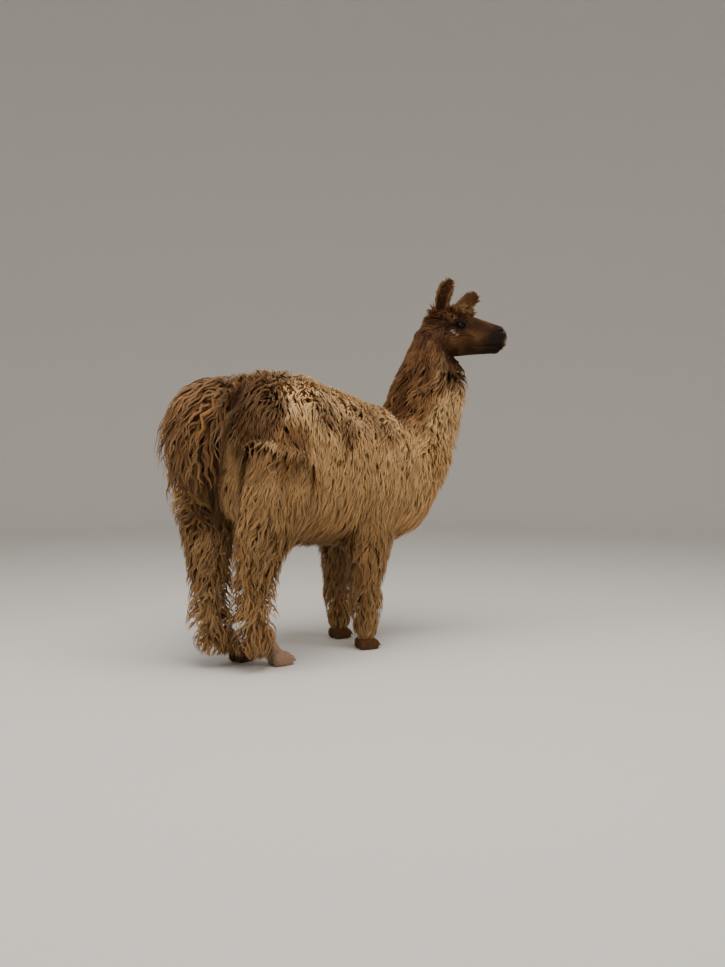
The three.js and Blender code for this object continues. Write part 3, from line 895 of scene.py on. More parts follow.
def fibre_material(name, roughness, layer, place, output, stretch, strength, distance, **values):
    """A material whose colour is a mesh's colour layer under the fibres' effect. The fibres
    run along a mapping of one output of the node `place`, given by its kind."""
    made, tree, shader = new_material(name, roughness)
    base = tree.nodes.new("ShaderNodeAttribute")
    base.attribute_name = layer
    source = tree.nodes.new("ShaderNode" + place)
    mapping = add(tree, "Mapping", **stretch)
    fibres = tree.nodes.new("ShaderNodeGroup")
    fibres.node_tree = FIBRES
    for key, value in values.items():
        fibres.inputs[key].default_value = value
    relief = add(tree, "Bump", Strength=strength, Distance=distance)
    link(tree, source, output, mapping, "Vector")
    link(tree, mapping, "Vector", fibres, "Vector")
    link(tree, base, "Color", fibres, "Colour")
    link(tree, fibres, "Colour", shader, "Base Color")
    link(tree, fibres, "Height", relief, "Height")
    link(tree, relief, "Normal", shader, "Normal")
    return made, source, shader


skin_paint, _, shader = fibre_material(
    "hide_under_fur", 0.72, "hide", "TexCoord", "Object",
    {"Rotation": (0, 0, -HEAD_TURN), "Scale": (180, 900, 900)}, strength=0.6, distance=0.0012,
    Detail=3.0, Low=0.0, High=1.0, Dark=0.60, Light=1.40)
shader.inputs["Specular IOR Level"].default_value = 0.10
skin.data.materials.append(skin_paint)
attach(skin, "root")
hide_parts("trunk", "neck", "head", "ear_right", "ear_left", "tail",
            *["leg_" + c for c in FEET], *["foot_" + c for c in FEET])

# ------------------------------------------------------------------ eyes
# Glass eyes, as in a mounted animal: shining dark brown balls with a wide lying pupil. Each
# is set in its socket behind the lids.

SIDES = {"right": -1, "left": 1}
IRIS_HALF, PUPIL = 0.0128, (0.0078, 0.0034)
EYE_RINGS, EYE_ROUND = 60, 72


def eyeball(side):
    """A sphere of EYE_RADIUS round the eye's centre, whose front bulges by 0.8 mm over the
    iris, as rings round the axis that points out and a little forward and down."""
    axis = unit(np.array([0.30, side * 1.0, -0.06]))
    ahead = unit(np.array([1.0, 0, 0]) - axis * axis[0])
    above = np.cross(axis, ahead) * side * -1
    polar = np.linspace(0.004, math.pi - 0.004, EYE_RINGS)[:, None]
    angle = np.linspace(0, 2 * math.pi, EYE_ROUND, endpoint=False)
    off = EYE_RADIUS * np.sin(polar)
    u, w = off * np.cos(angle), off * np.sin(angle)
    bulge = 0.0008 * np.exp(-((off / IRIS_HALF) ** 4)) * (polar < 1.5)
    depth = np.repeat(EYE_RADIUS * np.cos(polar) + bulge, len(angle), 1)
    local = depth[..., None] * axis + u[..., None] * ahead + w[..., None] * above
    points = on_head(local.reshape(-1, 3) + EYE_AT * [1, side, 1])
    r = np.repeat(off, len(angle), 1)
    pupil = np.sqrt((u / PUPIL[0]) ** 2 + (w / PUPIL[1]) ** 2)
    rays = 0.016 + 0.008 * np.cos(28 * np.arctan2(w, u)) * (r / IRIS_HALF)
    iris = rays[..., None] * [1, 0.50, 0.25]
    tone = np.where((pupil < 1)[..., None], 0.002, iris)
    tone = np.where((r > IRIS_HALF)[..., None], [0.008, 0.005, 0.004], tone)
    return points, tone.reshape(-1, 3)


eye_paint, tree, shader = new_material("wet_eye", 0.06)
base = tree.nodes.new("ShaderNodeAttribute")
base.attribute_name = "iris"
link(tree, base, "Color", shader, "Base Color")
shader.inputs["IOR"].default_value = 1.37
for name, side in SIDES.items():
    points, tone = eyeball(side)
    faces = grid_faces(EYE_RINGS, EYE_ROUND)
    eye = mesh_object("eyeball_" + name, points, faces if side > 0 else faces[:, ::-1])
    paint(eye, "iris", tone)
    eye.data.materials.append(eye_paint)
    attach(eye, "root")
    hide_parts("eye_" + name)

# ------------------------------------------------------------------ underwool
# Short broad tufts of soft underwool, rooted in the hide, fill the fleece between the skin
# and its longer locks, so that the coat is full wherever it opens.

# Every lock of the coat is a flat three-sided spindle that grows from the skin, lies along
# the body in smooth waves that neighbours share, and gathers a little at its tip.
rng = np.random.default_rng(11)
THIN = 1.0  # a draft has fewer, wider locks
WIDE = THIN**-0.5
faces_of = np.array([p.vertices[:] for p in skin.data.polygons if len(p.vertices) == 4])
corners = hide[faces_of]
face_turn = np.cross(corners[:, 1] - corners[:, 0], corners[:, 2] - corners[:, 0])
other_turn = np.cross(corners[:, 2] - corners[:, 0], corners[:, 3] - corners[:, 0])
face_areas = 0.5 * (np.linalg.norm(face_turn, axis=1) + np.linalg.norm(other_turn, axis=1))
face_part = hide_part[faces_of[:, 0]]
face_centre = corners.mean(1)
face_q = from_head(face_centre)


def roots(weight, count):
    """Random places on the skin's faces, as likely as area times weight, with normals."""
    share = np.cumsum(face_areas * weight)
    pick = np.searchsorted(share, rng.random(int(count * THIN)) * share[-1])
    u, v = rng.random((2, len(pick), 1))
    ids = faces_of[pick]

    def blend(rows):
        low = rows[:, 0] * (1 - u) + rows[:, 1] * u
        high = rows[:, 3] * (1 - u) + rows[:, 2] * u
        return low * (1 - v) + high * v

    return blend(hide[ids]), unit(blend(hide_normals[ids])), face_part[pick]


# The lie of the fleece on the trunk.
PARTING = 0.133  # metres, where the fleece parts along the back
CROUP_FROM, CROUP_ABOVE = (0.28, 0.42), (0.98, 1.08)  # how far back, and how high, it begins
HIND_FROM = -0.1  # legs behind this x are hind legs


def lie(points, normals, part):
    """The way fleece hangs: down and a little back, parted along the spine, straight back
    over the croup, and outward from a leg wherever its surface is level."""
    way = np.tile([-0.30, 0.0, -1.0], (len(points), 1))
    flat = np.clip(normals[:, 2], 0, 1)
    on_trunk = (part == ON_TRUNK) | (part == ON_DOCK)
    croup = step_up(-points[:, 0], *CROUP_FROM) * step_up(points[:, 2], *CROUP_ABOVE)
    parting = PARTING + 0.035 * grain(points * [1, 0, 0], 0.10, 36)
    outward = np.clip((points[:, 1] - parting) / 0.02, -1, 1) * flat
    way[:, 1] += 1.1 * outward * on_trunk * (1 - 0.7 * croup)
    way[:, 0] -= (0.45 + 1.3 * croup) * flat * on_trunk
    way[part == ON_NECK] += [-0.15, 0.10, 0.0]
    way[part >= LEGS_FROM] += [0.10, 0.0, 0.0]
    way[:, :2] += 2.5 * (normals[:, :2] * flat[:, None]) * (part >= LEGS_FROM)[:, None]
    return way


# The climb of the locks. On a shank they keep to the leg, and above it they hang freely.
SHANK_TOP, FORE_SHANK_LOWER = (0.62, 0.80), 0.13  # heights, lower on the forelegs
SINK_FREE, SINK_SHANK, RISE_MOST = 1.2, 0.25, 1.8  # slopes, level against length
BELLY_BELOW, DRAPE_BELOW = 0.85, 1.10  # heights
FLOOR_GAP = 0.004


def grow(root, normal, part, length, tip_level, rows, way=lie, rise=0.4, sway=(0.55, 0.30),
         drape=0.6):
    """Centrelines of `rows` points: each step follows the lie along the surface, turned
    aside by two smooth noises of strength `sway`, climbs from the skin, level 0, towards
    tip_level, where 1 is the outline of the fleece, and hangs where the body overhangs."""
    at, line, ups = root, [root], [normal]
    step = (length / (rows - 1))[:, None]
    for row in range(1, rows):
        value = body.read(at)
        depth = np.maximum(value[:, 0] - value[:, 1], 0.004)
        level = np.clip(value[:, 0] / depth, 0, 3)[:, None]
        share = np.minimum(level, 1)
        up = value[:, 2:5] * (1 - share) + value[:, 5:8] * share + 1e-6
        lower = at[:, 2] + FORE_SHANK_LOWER * (at[:, 0] > HIND_FROM)
        shank = (part >= LEGS_FROM) * (1 - step_up(lower, *SHANK_TOP))
        up[:, 2] *= 1 - 0.85 * shank
        up = unit(up)
        hang = way(at, up, part)
        hang = unit(hang - up * (hang * up).sum(1, keepdims=True))
        aside = sway[0] * grain(at, 0.070, 31) + sway[1] * grain(at, 0.024, 32)
        hang = unit(hang + aside[:, None] * np.cross(hang, up))
        want = tip_level[:, None] * (row / (rows - 1)) ** rise
        over = np.clip(-1.6 * up[:, 2:], 0, 1) * (at[:, 2:] < BELLY_BELOW)
        sink = (1 - shank[:, None]) * SINK_FREE * (1 - over) + SINK_SHANK * shank[:, None]
        climb = np.clip((want - level) * depth[:, None] / step, -sink, RISE_MOST)
        heavy = drape * np.clip(-up[:, 2:] + 0.15, 0, 1) * (at[:, 2:] < DRAPE_BELOW)
        at = at + unit(hang + up * climb + heavy * [0, 0, -1]) * step
        at[:, 2] = np.maximum(at[:, 2], FLOOR_GAP)
        line.append(at)
        ups.append(up)
    return np.stack(line, 1), np.stack(ups, 1)


def nearest_of(points, leaders, block=2000):
    """For each point the index of the nearest leader, worked out block by block."""
    found = np.zeros(len(points), int)
    for start in range(0, len(points), block):
        some = points[start:start + block, None]
        found[start:start + block] = ((some - leaders[None]) ** 2).sum(2).argmin(1)
    return found


WAVE_TURN = 6.283  # radians, a whole wave


def gather(line, ups, pull, every, curl, wave):
    """Draws each lock's outer part towards the nearest of the leading locks, one in
    `every`, and bends it by a wave of `curl` metres high and `wave` metres long, whose
    phase drifts smoothly over the body."""
    count, rows = line.shape[:2]
    leaders = rng.permutation(count)[:max(1, count // every)]
    leader = leaders[nearest_of(line[:, 0], line[leaders, 0])]
    t = np.linspace(0, 1, rows)[None, :, None]
    line = line + (line[leader] - line) * pull * t**1.3
    run = np.linalg.norm(np.diff(line, axis=1), axis=2).cumsum(1)
    run = np.concatenate([np.zeros((count, 1)), run], 1)
    ahead = unit(np.gradient(line, axis=1))
    across = unit(np.cross(ahead, ups))
    phase = 9 * grain(line[:, 0], 0.05, 33) + rng.normal(0, 0.6, count)
    pace = WAVE_TURN / (wave * (0.85 + 0.3 * rng.random(count)))
    size = curl * rng.uniform(0.4, 1.6, count)
    angle = (run * pace[:, None] + phase[:, None])[..., None]
    rise = np.minimum(t * 2.5, 1) * size[:, None, None]
    return line + rise * (np.sin(angle) * across + 0.4 * np.cos(angle) * ups)


def spindles(line, ups, width, thick=0.28, twist=0.3, belly=0.55, soften=0.6):
    """Three-sided closed spindles round the lines: the corners lie left, right and above,
    the width swells to the share `belly` of the length and falls to nothing at the tip.
    The shading normals lean by `soften` to the normal of the coat's surface."""
    count, rows = line.shape[:2]
    ahead = unit(np.gradient(line, axis=1))
    across = unit(np.cross(ahead, ups))
    above = np.cross(across, ahead)
    roll = rng.normal(0, twist, (count, 1, 1))
    across, above = (across * np.cos(roll) + above * np.sin(roll),
                     above * np.cos(roll) - across * np.sin(roll))
    t = np.linspace(0, 1, rows)[:-1]
    swell = np.where(t < belly, 0.6 + 0.4 * np.sin(np.pi / 2 * t / belly),
                     1 - (np.maximum(t - belly, 0) / (1 - belly)) ** 1.8)
    half = 0.5 * width[:, None, None] * swell[None, :, None]
    c, a, u = line[:, :-1], across[:, :-1], above[:, :-1]
    ring = np.stack([c - a * half - u * half * thick * 0.5, c + u * half * thick * 1.6,
                     c + a * half - u * half * thick * 0.5], 2)
    points = np.concatenate([ring.reshape(count, -1, 3), line[:, -1:]], 1)
    outward = np.stack([-a - 0.2 * u, u, a - 0.2 * u], 2) * (1 - soften)
    outward = outward + ups[:, :-1, None] * soften
    outer = unit(np.concatenate([outward.reshape(count, -1, 3), ups[:, -1:]], 1))
    under = -np.concatenate([np.repeat(u, 3, 1), u[:, -1:]], 1)
    i = np.arange(rows - 2)[:, None]
    k = np.arange(3)[None]
    n = (k + 1) % 3
    a, b, c, d = 3 * i + k, 3 * i + n, 3 * i + 3 + n, 3 * i + 3 + k
    sides = [np.stack([a, b, c], -1).reshape(-1, 3), np.stack([a, c, d], -1).reshape(-1, 3)]
    last = 3 * (rows - 2)
    tip = [[last + j, last + (j + 1) % 3, last + 3] for j in range(3)]
    local = np.concatenate([*sides, tip, [[0, 2, 1]]])
    size = points.shape[1]
    faces = (np.arange(count) * size)[:, None, None] + local[None]
    beneath = (np.arange(len(local)) % 3 == 2) | (np.arange(len(local)) == len(local) - 1)
    shading = np.where(beneath[:, None, None], under[:, local], outer[:, local])
    return points.reshape(-1, 3), faces.reshape(-1, 3), size, shading.reshape(-1, 3)


TUFT_PATCH = 0.003  # the side of each lock's patch on the map OFBake
SPINE_CAP = 0.05  # metres past the spine's end that count as one of its steps
STRAND_ACROSS, STRAND_ALONG = 0.008, 0.05  # metres of lock for one unit of the map of strands


def unwrapped(loft, points):
    """Where points lie on the skin unrolled round one loft: along its spine and round it."""
    share, ahead, side, up = loft.offsets(points)
    along_spine = (share + ahead / SPINE_CAP) / (len(loft.centre) - 1)
    return np.stack([0.05 + 0.9 * np.clip(along_spine, -0.05, 1.05),
                     0.02 + 0.96 * (np.arctan2(side, up) / (2 * math.pi) + 0.5)], 1)


def coat_piece(name, slot, line, ups, width, colour, loft, thick=0.28, twist=0.2, soften=0.7,
               root_tone=0.82, tip_tone=1.10, uneven=0.14):
    """One mesh of locks with their colours, the map OFBake and a map of strands. A lock
    has its root's tone, then its own and then its tip's, times a normal draw `uneven`."""
    points, faces, size, shading = spindles(line, ups, width, thick, twist, soften=soften)
    count, rows = line.shape[:2]
    made = mesh_object(name, points, faces)
    made.data.normals_split_custom_set(shading)
    t = np.concatenate([np.repeat(np.linspace(0, 1, rows)[:-1], 3), [1.0]])
    tone = root_tone + (1 - root_tone) * step_up(t, 0, 0.5) + (tip_tone - 1) * step_up(t, 0.6, 1)
    own = 1 + uneven * rng.normal(0, 1, (count, 1)).clip(-2, 2)
    warm = 1 + 0.06 * rng.normal(0, 1, (count, 1, 1)) * np.array([1, 0, -1.5])
    keys = colour if colour.ndim == 3 else np.stack([colour, colour], 1)
    key_at = t * (keys.shape[1] - 1)
    before = np.minimum(key_at.astype(int), keys.shape[1] - 2)
    past = (key_at - before)[None, :, None]
    tinted = keys[:, before] * (1 - past) + keys[:, before + 1] * past
    tinted = tinted * (tone[None] * own)[..., None] * warm
    paint(made, "coat", tinted.reshape(-1, 3).clip(0.003, 0.95))
    at = np.empty(len(made.data.loops), np.int32)
    made.data.loops.foreach_get("vertex_index", at)
    lock, corner = at // size, at % size
    across = np.where(corner == size - 1, 0.5, (corner % 3) * 0.5)
    onward = t[corner]
    home = unwrapped(loft, line[:, 0])[lock]
    patch = home + TUFT_PATCH * (np.stack([onward, across], 1) - 0.5)
    bake_map = made.data.uv_layers.new(name="OFBake")
    bake_map.data.foreach_set("uv", patch.astype(np.float32).ravel())
    seed = rng.random(count) * 40
    long = np.linalg.norm(np.diff(line, axis=1), axis=2).sum(1)
    run = [seed[lock] + across * width[lock] / STRAND_ACROSS, onward * long[lock] / STRAND_ALONG]
    strand_map = made.data.uv_layers.new(name="strand")
    strand_map.data.foreach_set("uv", np.stack(run, 1).astype(np.float32).ravel())
    made.data.materials.append(wool_paint)
    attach(made, "root")


wool_paint, strand_source, shader = fibre_material(
    "wool", 0.72, "coat", "UVMap", "UV", {"Scale": (13, 0.8, 1)}, strength=0.8, distance=0.001,
    Detail=2.0, Low=0.3, High=0.7, Dark=0.68, Light=1.30)
strand_source.uv_map = "strand"
shader.inputs["Subsurface Weight"].default_value = 0.35
shader.inputs["Subsurface Radius"].default_value = (1.0, 0.62, 0.38)
shader.inputs["Subsurface Scale"].default_value = 0.012
shader.inputs["Sheen Weight"].default_value = 0.03
shader.inputs["Sheen Roughness"].default_value = 0.5
shader.inputs["Specular IOR Level"].default_value = 0.12


def part_weight(*parts):
    """1 for each face of the skin that lies on one of these parts, and 0 elsewhere."""
    return np.isin(face_part, parts).astype(float)


def tail_way(points, normals, part):
    """Along the tail, and a little outward."""
    return tail.at(tail.tangent, tail.foot(points)) + unit(normals) * 0.05


# Where the fleece is fuller or flatter. Levels are shares of its depth, lengths of its own.
CROUP_AT, CROUP_RADII, CROUP_FULLER = (-0.42, 0.10, 1.16), (0.16, 0.18, 0.14), 0.80
LEVEL_UNDER, UNDER_CROUP = 0.80, 0.75  # underwool lies below this level, and swells less
POLL_FLATTER = 0.75
TRUNK_JOIN, FORE_JOIN_LOWER, JOIN_FLATTER = (0.66, 0.84), 0.16, 0.50  # legs pass into the trunk
THROAT_FROM, THROAT_LEVEL = (1.04, 1.12), 0.93
DOCK_LEVEL = 0.70  # trunk fleece on the dock, below the tail's own
TAIL_ROOT_FLATTER, TAIL_ROOT = 0.10, (1.02, 1.16)
HEM_BELOW, HEM_HIND, HEM_FORE = (0.24, 0.38), 0.42, 0.50
ELBOW_FROM, ELBOW_FULLER = (0.34, 0.50), 0.45
BELLY_LONGER, CHEST_LONGER, CHEST_FROM = 0.30, 0.95, (0.18, 0.30)
HEM_SEEN = 0.15  # a lock that ends lower keeps the colour of the leg at this height
HANG_BELOW = (0.66, 0.80)  # heights between which the locks under the body grow longer


def fleece_levels(root, normal, part, tip, way):
    """The levels of the tips, fuller on croup, elbows and hems, flatter on poll, throat,
    tail's root and where a leg passes into the trunk."""
    leg = part >= LEGS_FROM
    flat = np.clip(normal[:, 2], 0, 1)
    croup = bump(root, CROUP_AT, CROUP_RADII, CROUP_FULLER)
    croup = croup * np.where(tip > LEVEL_UNDER, 1, UNDER_CROUP)
    tip = tip + (0.10 + 0.12 * (tip < LEVEL_UNDER) + croup) * flat * (part != ON_NECK)
    tip = tip * np.where(part == ON_HEAD, POLL_FLATTER, 1)
    lower = root[:, 2] + FORE_JOIN_LOWER * (root[:, 0] > HIND_FROM)
    tip = tip * (1 - JOIN_FLATTER * (leg * step_up(lower, *TRUNK_JOIN)))
    upper_throat = (part == ON_NECK) * step_up(root[:, 2], *THROAT_FROM)
    tip = tip - upper_throat * np.maximum(tip - THROAT_LEVEL, 0)
    if way is lie:
        tip = np.where(part == ON_DOCK, np.minimum(tip, DOCK_LEVEL), tip)
    if way is tail_way:
        below_root = step_up(-root[:, 2], -TAIL_ROOT[1], -TAIL_ROOT[0])
        tip = tip * (1 - TAIL_ROOT_FLATTER + TAIL_ROOT_FLATTER * below_root)
    hem = leg * (tip > 0.75) * (1 - step_up(root[:, 2], *HEM_BELOW))
    tip = tip + hem * np.where(root[:, 0] < HIND_FROM, HEM_HIND, HEM_FORE)
    elbow = step_up(root[:, 2], *ELBOW_FROM) * (root[:, 0] > 0) * (tip > 0.62)
    return tip + ELBOW_FULLER * elbow * leg


def fleece_lengths(root, normal, part, long):
    """The lengths of the locks: longer under belly and chest, and clear of the floor."""
    leg = part >= LEGS_FROM
    below = np.clip(0.4 - 1.5 * normal[:, 2], 0, 1)
    below = below * step_up(-root[:, 2], -HANG_BELOW[1], -HANG_BELOW[0]) * ~leg
    chest = CHEST_LONGER * step_up(root[:, 0], *CHEST_FROM)
    long = long * (1 + (BELLY_LONGER + chest) * below)
    return np.where(leg, np.minimum(long, np.maximum(root[:, 2] - 0.030, 0.03)), long)


def fleece(name, slot, weight, count, rows, length, width, level, pull, every, curl, wave,
           loft, way=lie, rise=0.4, sway=(0.55, 0.30), stray=0.15, dim=1.0, **finish):
    """Grows, gathers and builds one piece of fleece over the weighted part of the skin. A
    share `stray` of its locks is finer and stands a little off the rest."""
    root, normal, part = roots(weight, count)
    long = rng.uniform(*length, len(root))
    fine = rng.random(len(root)) < stray
    tip = rng.uniform(*level, len(root)) + 0.12 * fine * rng.random(len(root))
    tip = fleece_levels(root, normal, part, tip, way)
    long = fleece_lengths(root, normal, part, long)
    line, ups = grow(root, normal, part, long, tip, rows, way, rise, sway)
    line = gather(line, ups, pull, every, curl, wave)
    streaks = grain(root * [1, 1, 0.35], 0.016, 35)
    seen = line[:, [1, rows // 2, rows - 2]].reshape(-1, 3)
    seen[:, 2] = np.maximum(seen[:, 2], HEM_SEEN)
    colour = markings_and_painted_light(seen, np.repeat(part, 3)).reshape(-1, 3, 3)
    colour = colour * (dim * (1 + 0.18 * streaks))[:, None, None]
    wide = rng.uniform(*width, len(root)) * WIDE * np.where(fine, 0.45, 1)
    coat_piece(name, slot, line, ups, wide, colour, loft, **finish)


on_trunk_skin = part_weight(ON_TRUNK) + part_weight(ON_DOCK) * (face_centre[:, 0] > -0.50)
to_head = (face_part == ON_HEAD) & (face_q[:, 0] < 0.035) & (face_q[:, 2] < 0.055)
on_neck_skin = part_weight(ON_NECK) + 1.5 * to_head
LEG_HAIR_HIND, LEG_HAIR_FORE = 0.100, 0.070  # the pasterns below these heights have short hair
leg_hair_from = np.where(face_centre[:, 0] < 0, LEG_HAIR_HIND, LEG_HAIR_FORE)
on_leg_skin = part_weight(*range(LEGS_FROM, LEGS_FROM + 4)) * (face_centre[:, 2] > leg_hair_from)

# Each piece: slot, where it grows, count, lengths, widths, levels, the loft that its map
# unrolls, and how much darker it is than the fleece.
UNDERWOOL = {
    "underwool_trunk": ("fleece_cream", on_trunk_skin, 4100, (0.050, 0.085), (0.013, 0.020),
                        (0.62, 0.90), trunk, 0.95),
    "underwool_neck": ("fleece_cream", on_neck_skin, 1900, (0.050, 0.085), (0.013, 0.020),
                       (0.62, 0.88), neck, 0.95),
    "underwool_legs": ("fleece_ochre", on_leg_skin, 2300, (0.045, 0.075), (0.012, 0.019),
                       (0.58, 0.86), legs["hind_right"], 0.9),
}
for name, (slot, where, count, length, width, level, loft, dim) in UNDERWOOL.items():
    fleece(name, slot, where, count, 5, length, width, level, 0.1, 5, 0.002, 0.08, loft,
           stray=0, dim=dim, root_tone=0.85)

# ------------------------------------------------------------------ fleece
# Soft open wool 7 to 14 cm long, parted along the back: frizzy on top, gently waved down
# the flanks and neck, shaggy on the legs, with a hanging ragged edge under belly and chest.

MIDLINE, WAIST = 0.128, -0.06  # metres, where the trunk's four pieces of fleece meet
for side_name, side in SIDES.items():
    on_side = (face_centre[:, 1] - MIDLINE) * side > 0
    for end_name, end in (("hind", face_centre[:, 0] < WAIST), ("fore", face_centre[:, 0] >= WAIST)):
        fleece(f"fleece_trunk_{end_name}_{side_name}", "fleece_cream",
               on_trunk_skin * on_side * end, 3350, 7, (0.085, 0.140), (0.0050, 0.0100),
               (0.88, 1.08), 0.30, 6, 0.005, 0.090, trunk, sway=(0.42, 0.24), soften=0.55,
               thick=0.18, twist=0.12, root_tone=0.95)
nape = neck.offsets(face_centre)[3] > -0.02
fleece("fleece_mane", "fleece_cream", on_neck_skin * nape, 2300, 8, (0.085, 0.145),
       (0.006, 0.0115), (0.84, 1.10), 0.35, 6, 0.006, 0.085, neck)
fleece("fleece_throat", "fleece_cream", on_neck_skin * ~nape, 2300, 8, (0.065, 0.110),
       (0.005, 0.0100), (0.90, 1.18), 0.25, 6, 0.003, 0.090, neck, sway=(0.35, 0.15), stray=0.05)
for number, corner in enumerate(FEET):
    count = 2050 if corner.startswith("hind") else 1400
    fleece("fleece_leg_" + corner, "fleece_ochre", on_leg_skin * (face_part == LEGS_FROM + number),
           count, 9, (0.085, 0.140), (0.0045, 0.0095), (0.80, 1.15), 0.45, 6, 0.006, 0.074,
           legs[corner], sway=(0.50, 0.30), thick=0.20)

dock_front = unit(face_turn)[:, 0] > 0.25
on_dock = part_weight(ON_DOCK) * (face_centre[:, 0] < -0.46) * ~dock_front
fleece("fleece_tail", "fleece_brown", on_dock, 1200, 13, (0.20, 0.42), (0.009, 0.017),
       (0.80, 1.40), 0.40, 7, 0.009, 0.095, tail, way=tail_way, rise=0.7, sway=(0.35, 0.20),
       uneven=0.26)

# ------------------------------------------------------------------ hair of the head
# Short dense hair lies back from the nose, longer on cheeks and poll, with a frizzy
# topknot between the ears, fringed ears, and long lashes on the upper lids.


def short_line(root, normal, way, length, lift, rows=4):
    """Lines that leave the skin at a slope and bend down along it: root plus the lie times
    t plus the normal times lift (t - t squared / 2), times the length."""
    way = unit(way - normal * (way * normal).sum(1, keepdims=True))
    t = np.linspace(0, 1, rows)[None, :, None]
    rise = lift[:, None, None] * (t - 0.5 * t**2)
    line = root[:, None] + length[:, None, None] * (way[:, None] * t + normal[:, None] * rise)
    return line - normal[:, None] * 0.0008 * (1 - t), np.repeat(normal[:, None], rows, 1)


def head_way(points):
    """Hair runs from the nose towards the poll, down over the cheeks and up over the brow."""
    q = from_head(points)
    down = np.where(q[:, 2] > 0.05, 0.15, -0.35 - 0.5 * step_up(-q[:, 2], 0.0, 0.08))
    local = np.stack([-np.ones(len(q)), 0.25 * np.sign(q[:, 1]), down], 1)
    return local @ head_frame[0].T


on_ear = np.zeros(len(face_centre), bool)
for leaf, scoop in ears.values():
    on_ear |= (np.abs(leaf.reach(face_centre, (1,))[0]) < 0.030) & (face_q[:, 2] > 0.088)
on_ear &= face_q[:, 0] < 0.10 + (face_q[:, 2] - 0.09) * 0.9
q_fold = face_q * np.where(face_q[:, 1:2] < 0, [[1, -1, 1]], 1)
eye_far = np.linalg.norm(q_fold - EYE_AT, axis=1)
nostril_far, _ = segment_far(q_fold, *NOSTRIL)
lip_far = np.abs(q_fold[:, 2] - mouth_height(q_fold[:, 0])) + (q_fold[:, 0] < 0.2)
clear = (eye_far > 0.0255) & (nostril_far > 0.008) & (lip_far > 0.004) & (q_fold[:, 0] < 0.318)
on_head_face = (face_part == ON_HEAD) | (face_q[:, 0] > 0.06) & (face_q[:, 2] > -0.13)
on_head_face = on_head_face & clear & ~on_ear

root, normal, part = roots(on_head_face * (1 + step_up(face_q[:, 0], 0.1, 0.3)), 7200)
q = from_head(root)
forward = step_up(q[:, 0], 0.02, 0.24)
rear = 1 - step_up(q[:, 0] - 0.35 * np.minimum(q[:, 2], 0), 0.02, 0.10)
long = (0.026 - 0.018 * forward + 0.020 * rear) * rng.uniform(0.7, 1.3, len(root))
lift = (0.50 - 0.30 * forward) * rng.uniform(0.6, 1.3, len(root))
way = head_way(root) + rng.normal(0, 0.14, root.shape)
line, ups = short_line(root, normal, way, long, lift)
width = (0.0050 - 0.0026 * forward + 0.002 * rear) * rng.uniform(0.8, 1.2, len(root)) * WIDE
coat_piece("hair_head", "face_brown", line, ups, width, markings_and_painted_light(root, part), head,
           root_tone=0.75, tip_tone=1.25, soften=0.4, uneven=0.22)

# the topknot
on_top = (face_q[:, 0] > 0.028) & (face_q[:, 0] < 0.122) & (face_q[:, 2] > 0.070) & ~on_ear
on_top &= np.abs(face_q[:, 1]) < 0.046
root, normal, part = roots(on_top.astype(float), 900)


def knot_way(points, normals, part):
    """Curls spread from the middle of the crown, forward and sideways."""
    q = from_head(points) - (0.085, 0, 0.05)
    return (q * [0.8, 1.3, 1.0]) @ head_frame[0].T


long = rng.uniform(0.036, 0.074, len(root))
level = rng.uniform(1.0, 2.8, len(root))
line, ups = grow(root, normal, part, long, level, 10, knot_way, sway=(0.8, 0.9))
line = gather(line, ups, 0.35, 5, 0.0045, 0.024)
tone = mixed(np.tile(np.array(BROWN) * 0.5, (len(root), 1)), TAWNY, 0.7 * rng.random(len(root)) ** 2)
width = rng.uniform(0.003, 0.006, len(root)) * WIDE
coat_piece("hair_topknot", "face_brown", line, ups, width, tone, head,
           root_tone=0.5, tip_tone=1.25, soften=0.3)

# the ears, each with a paler fringe along its rims and short hair inside, painted dark as shade in
# the hollow
FRINGE = (0.34, 0.20, 0.09)
for name, (leaf, scoop) in ears.items():
    side = EARS[name][0]
    mine = on_ear & (face_q[:, 1] * side > -0.01)
    root, normal, part = roots(mine.astype(float), 1150)
    share, _, across, _ = leaf.offsets(root)
    run = leaf.at(leaf.tangent, share)
    sizes = leaf.at(leaf.sizes, share)
    rim = step_up(np.abs(across) / sizes[:, 0], 0.62, 0.85)
    outward = leaf.at(leaf.across, share) * np.sign(across)[:, None]
    inner = scoop.reach(root, (0,))[0] < 0.002
    way = run + outward * (0.9 * rim)[:, None] + rng.normal(0, 0.15, root.shape)
    long = (0.010 + 0.014 * rim) * rng.uniform(0.7, 1.3, len(root))
    lift = 0.35 + 0.4 * inner
    line, ups = short_line(root, normal, way, long, lift, rows=5)
    tone = markings_and_painted_light(root, part)
    # painted shade: the hair deep in the ear's hollow is darkened
    tone = np.where((inner & (rim < 0.4))[:, None], np.array(DARK) * 0.8, tone)
    tone = mixed(tone, FRINGE, 0.55 * rim * rng.random(len(root)))
    width = rng.uniform(0.0028, 0.0048, len(root)) * WIDE
    coat_piece("hair_ear_" + name, "face_brown", line, ups, width, tone, leaf,
               soften=0.4, root_tone=0.8, tip_tone=1.3)

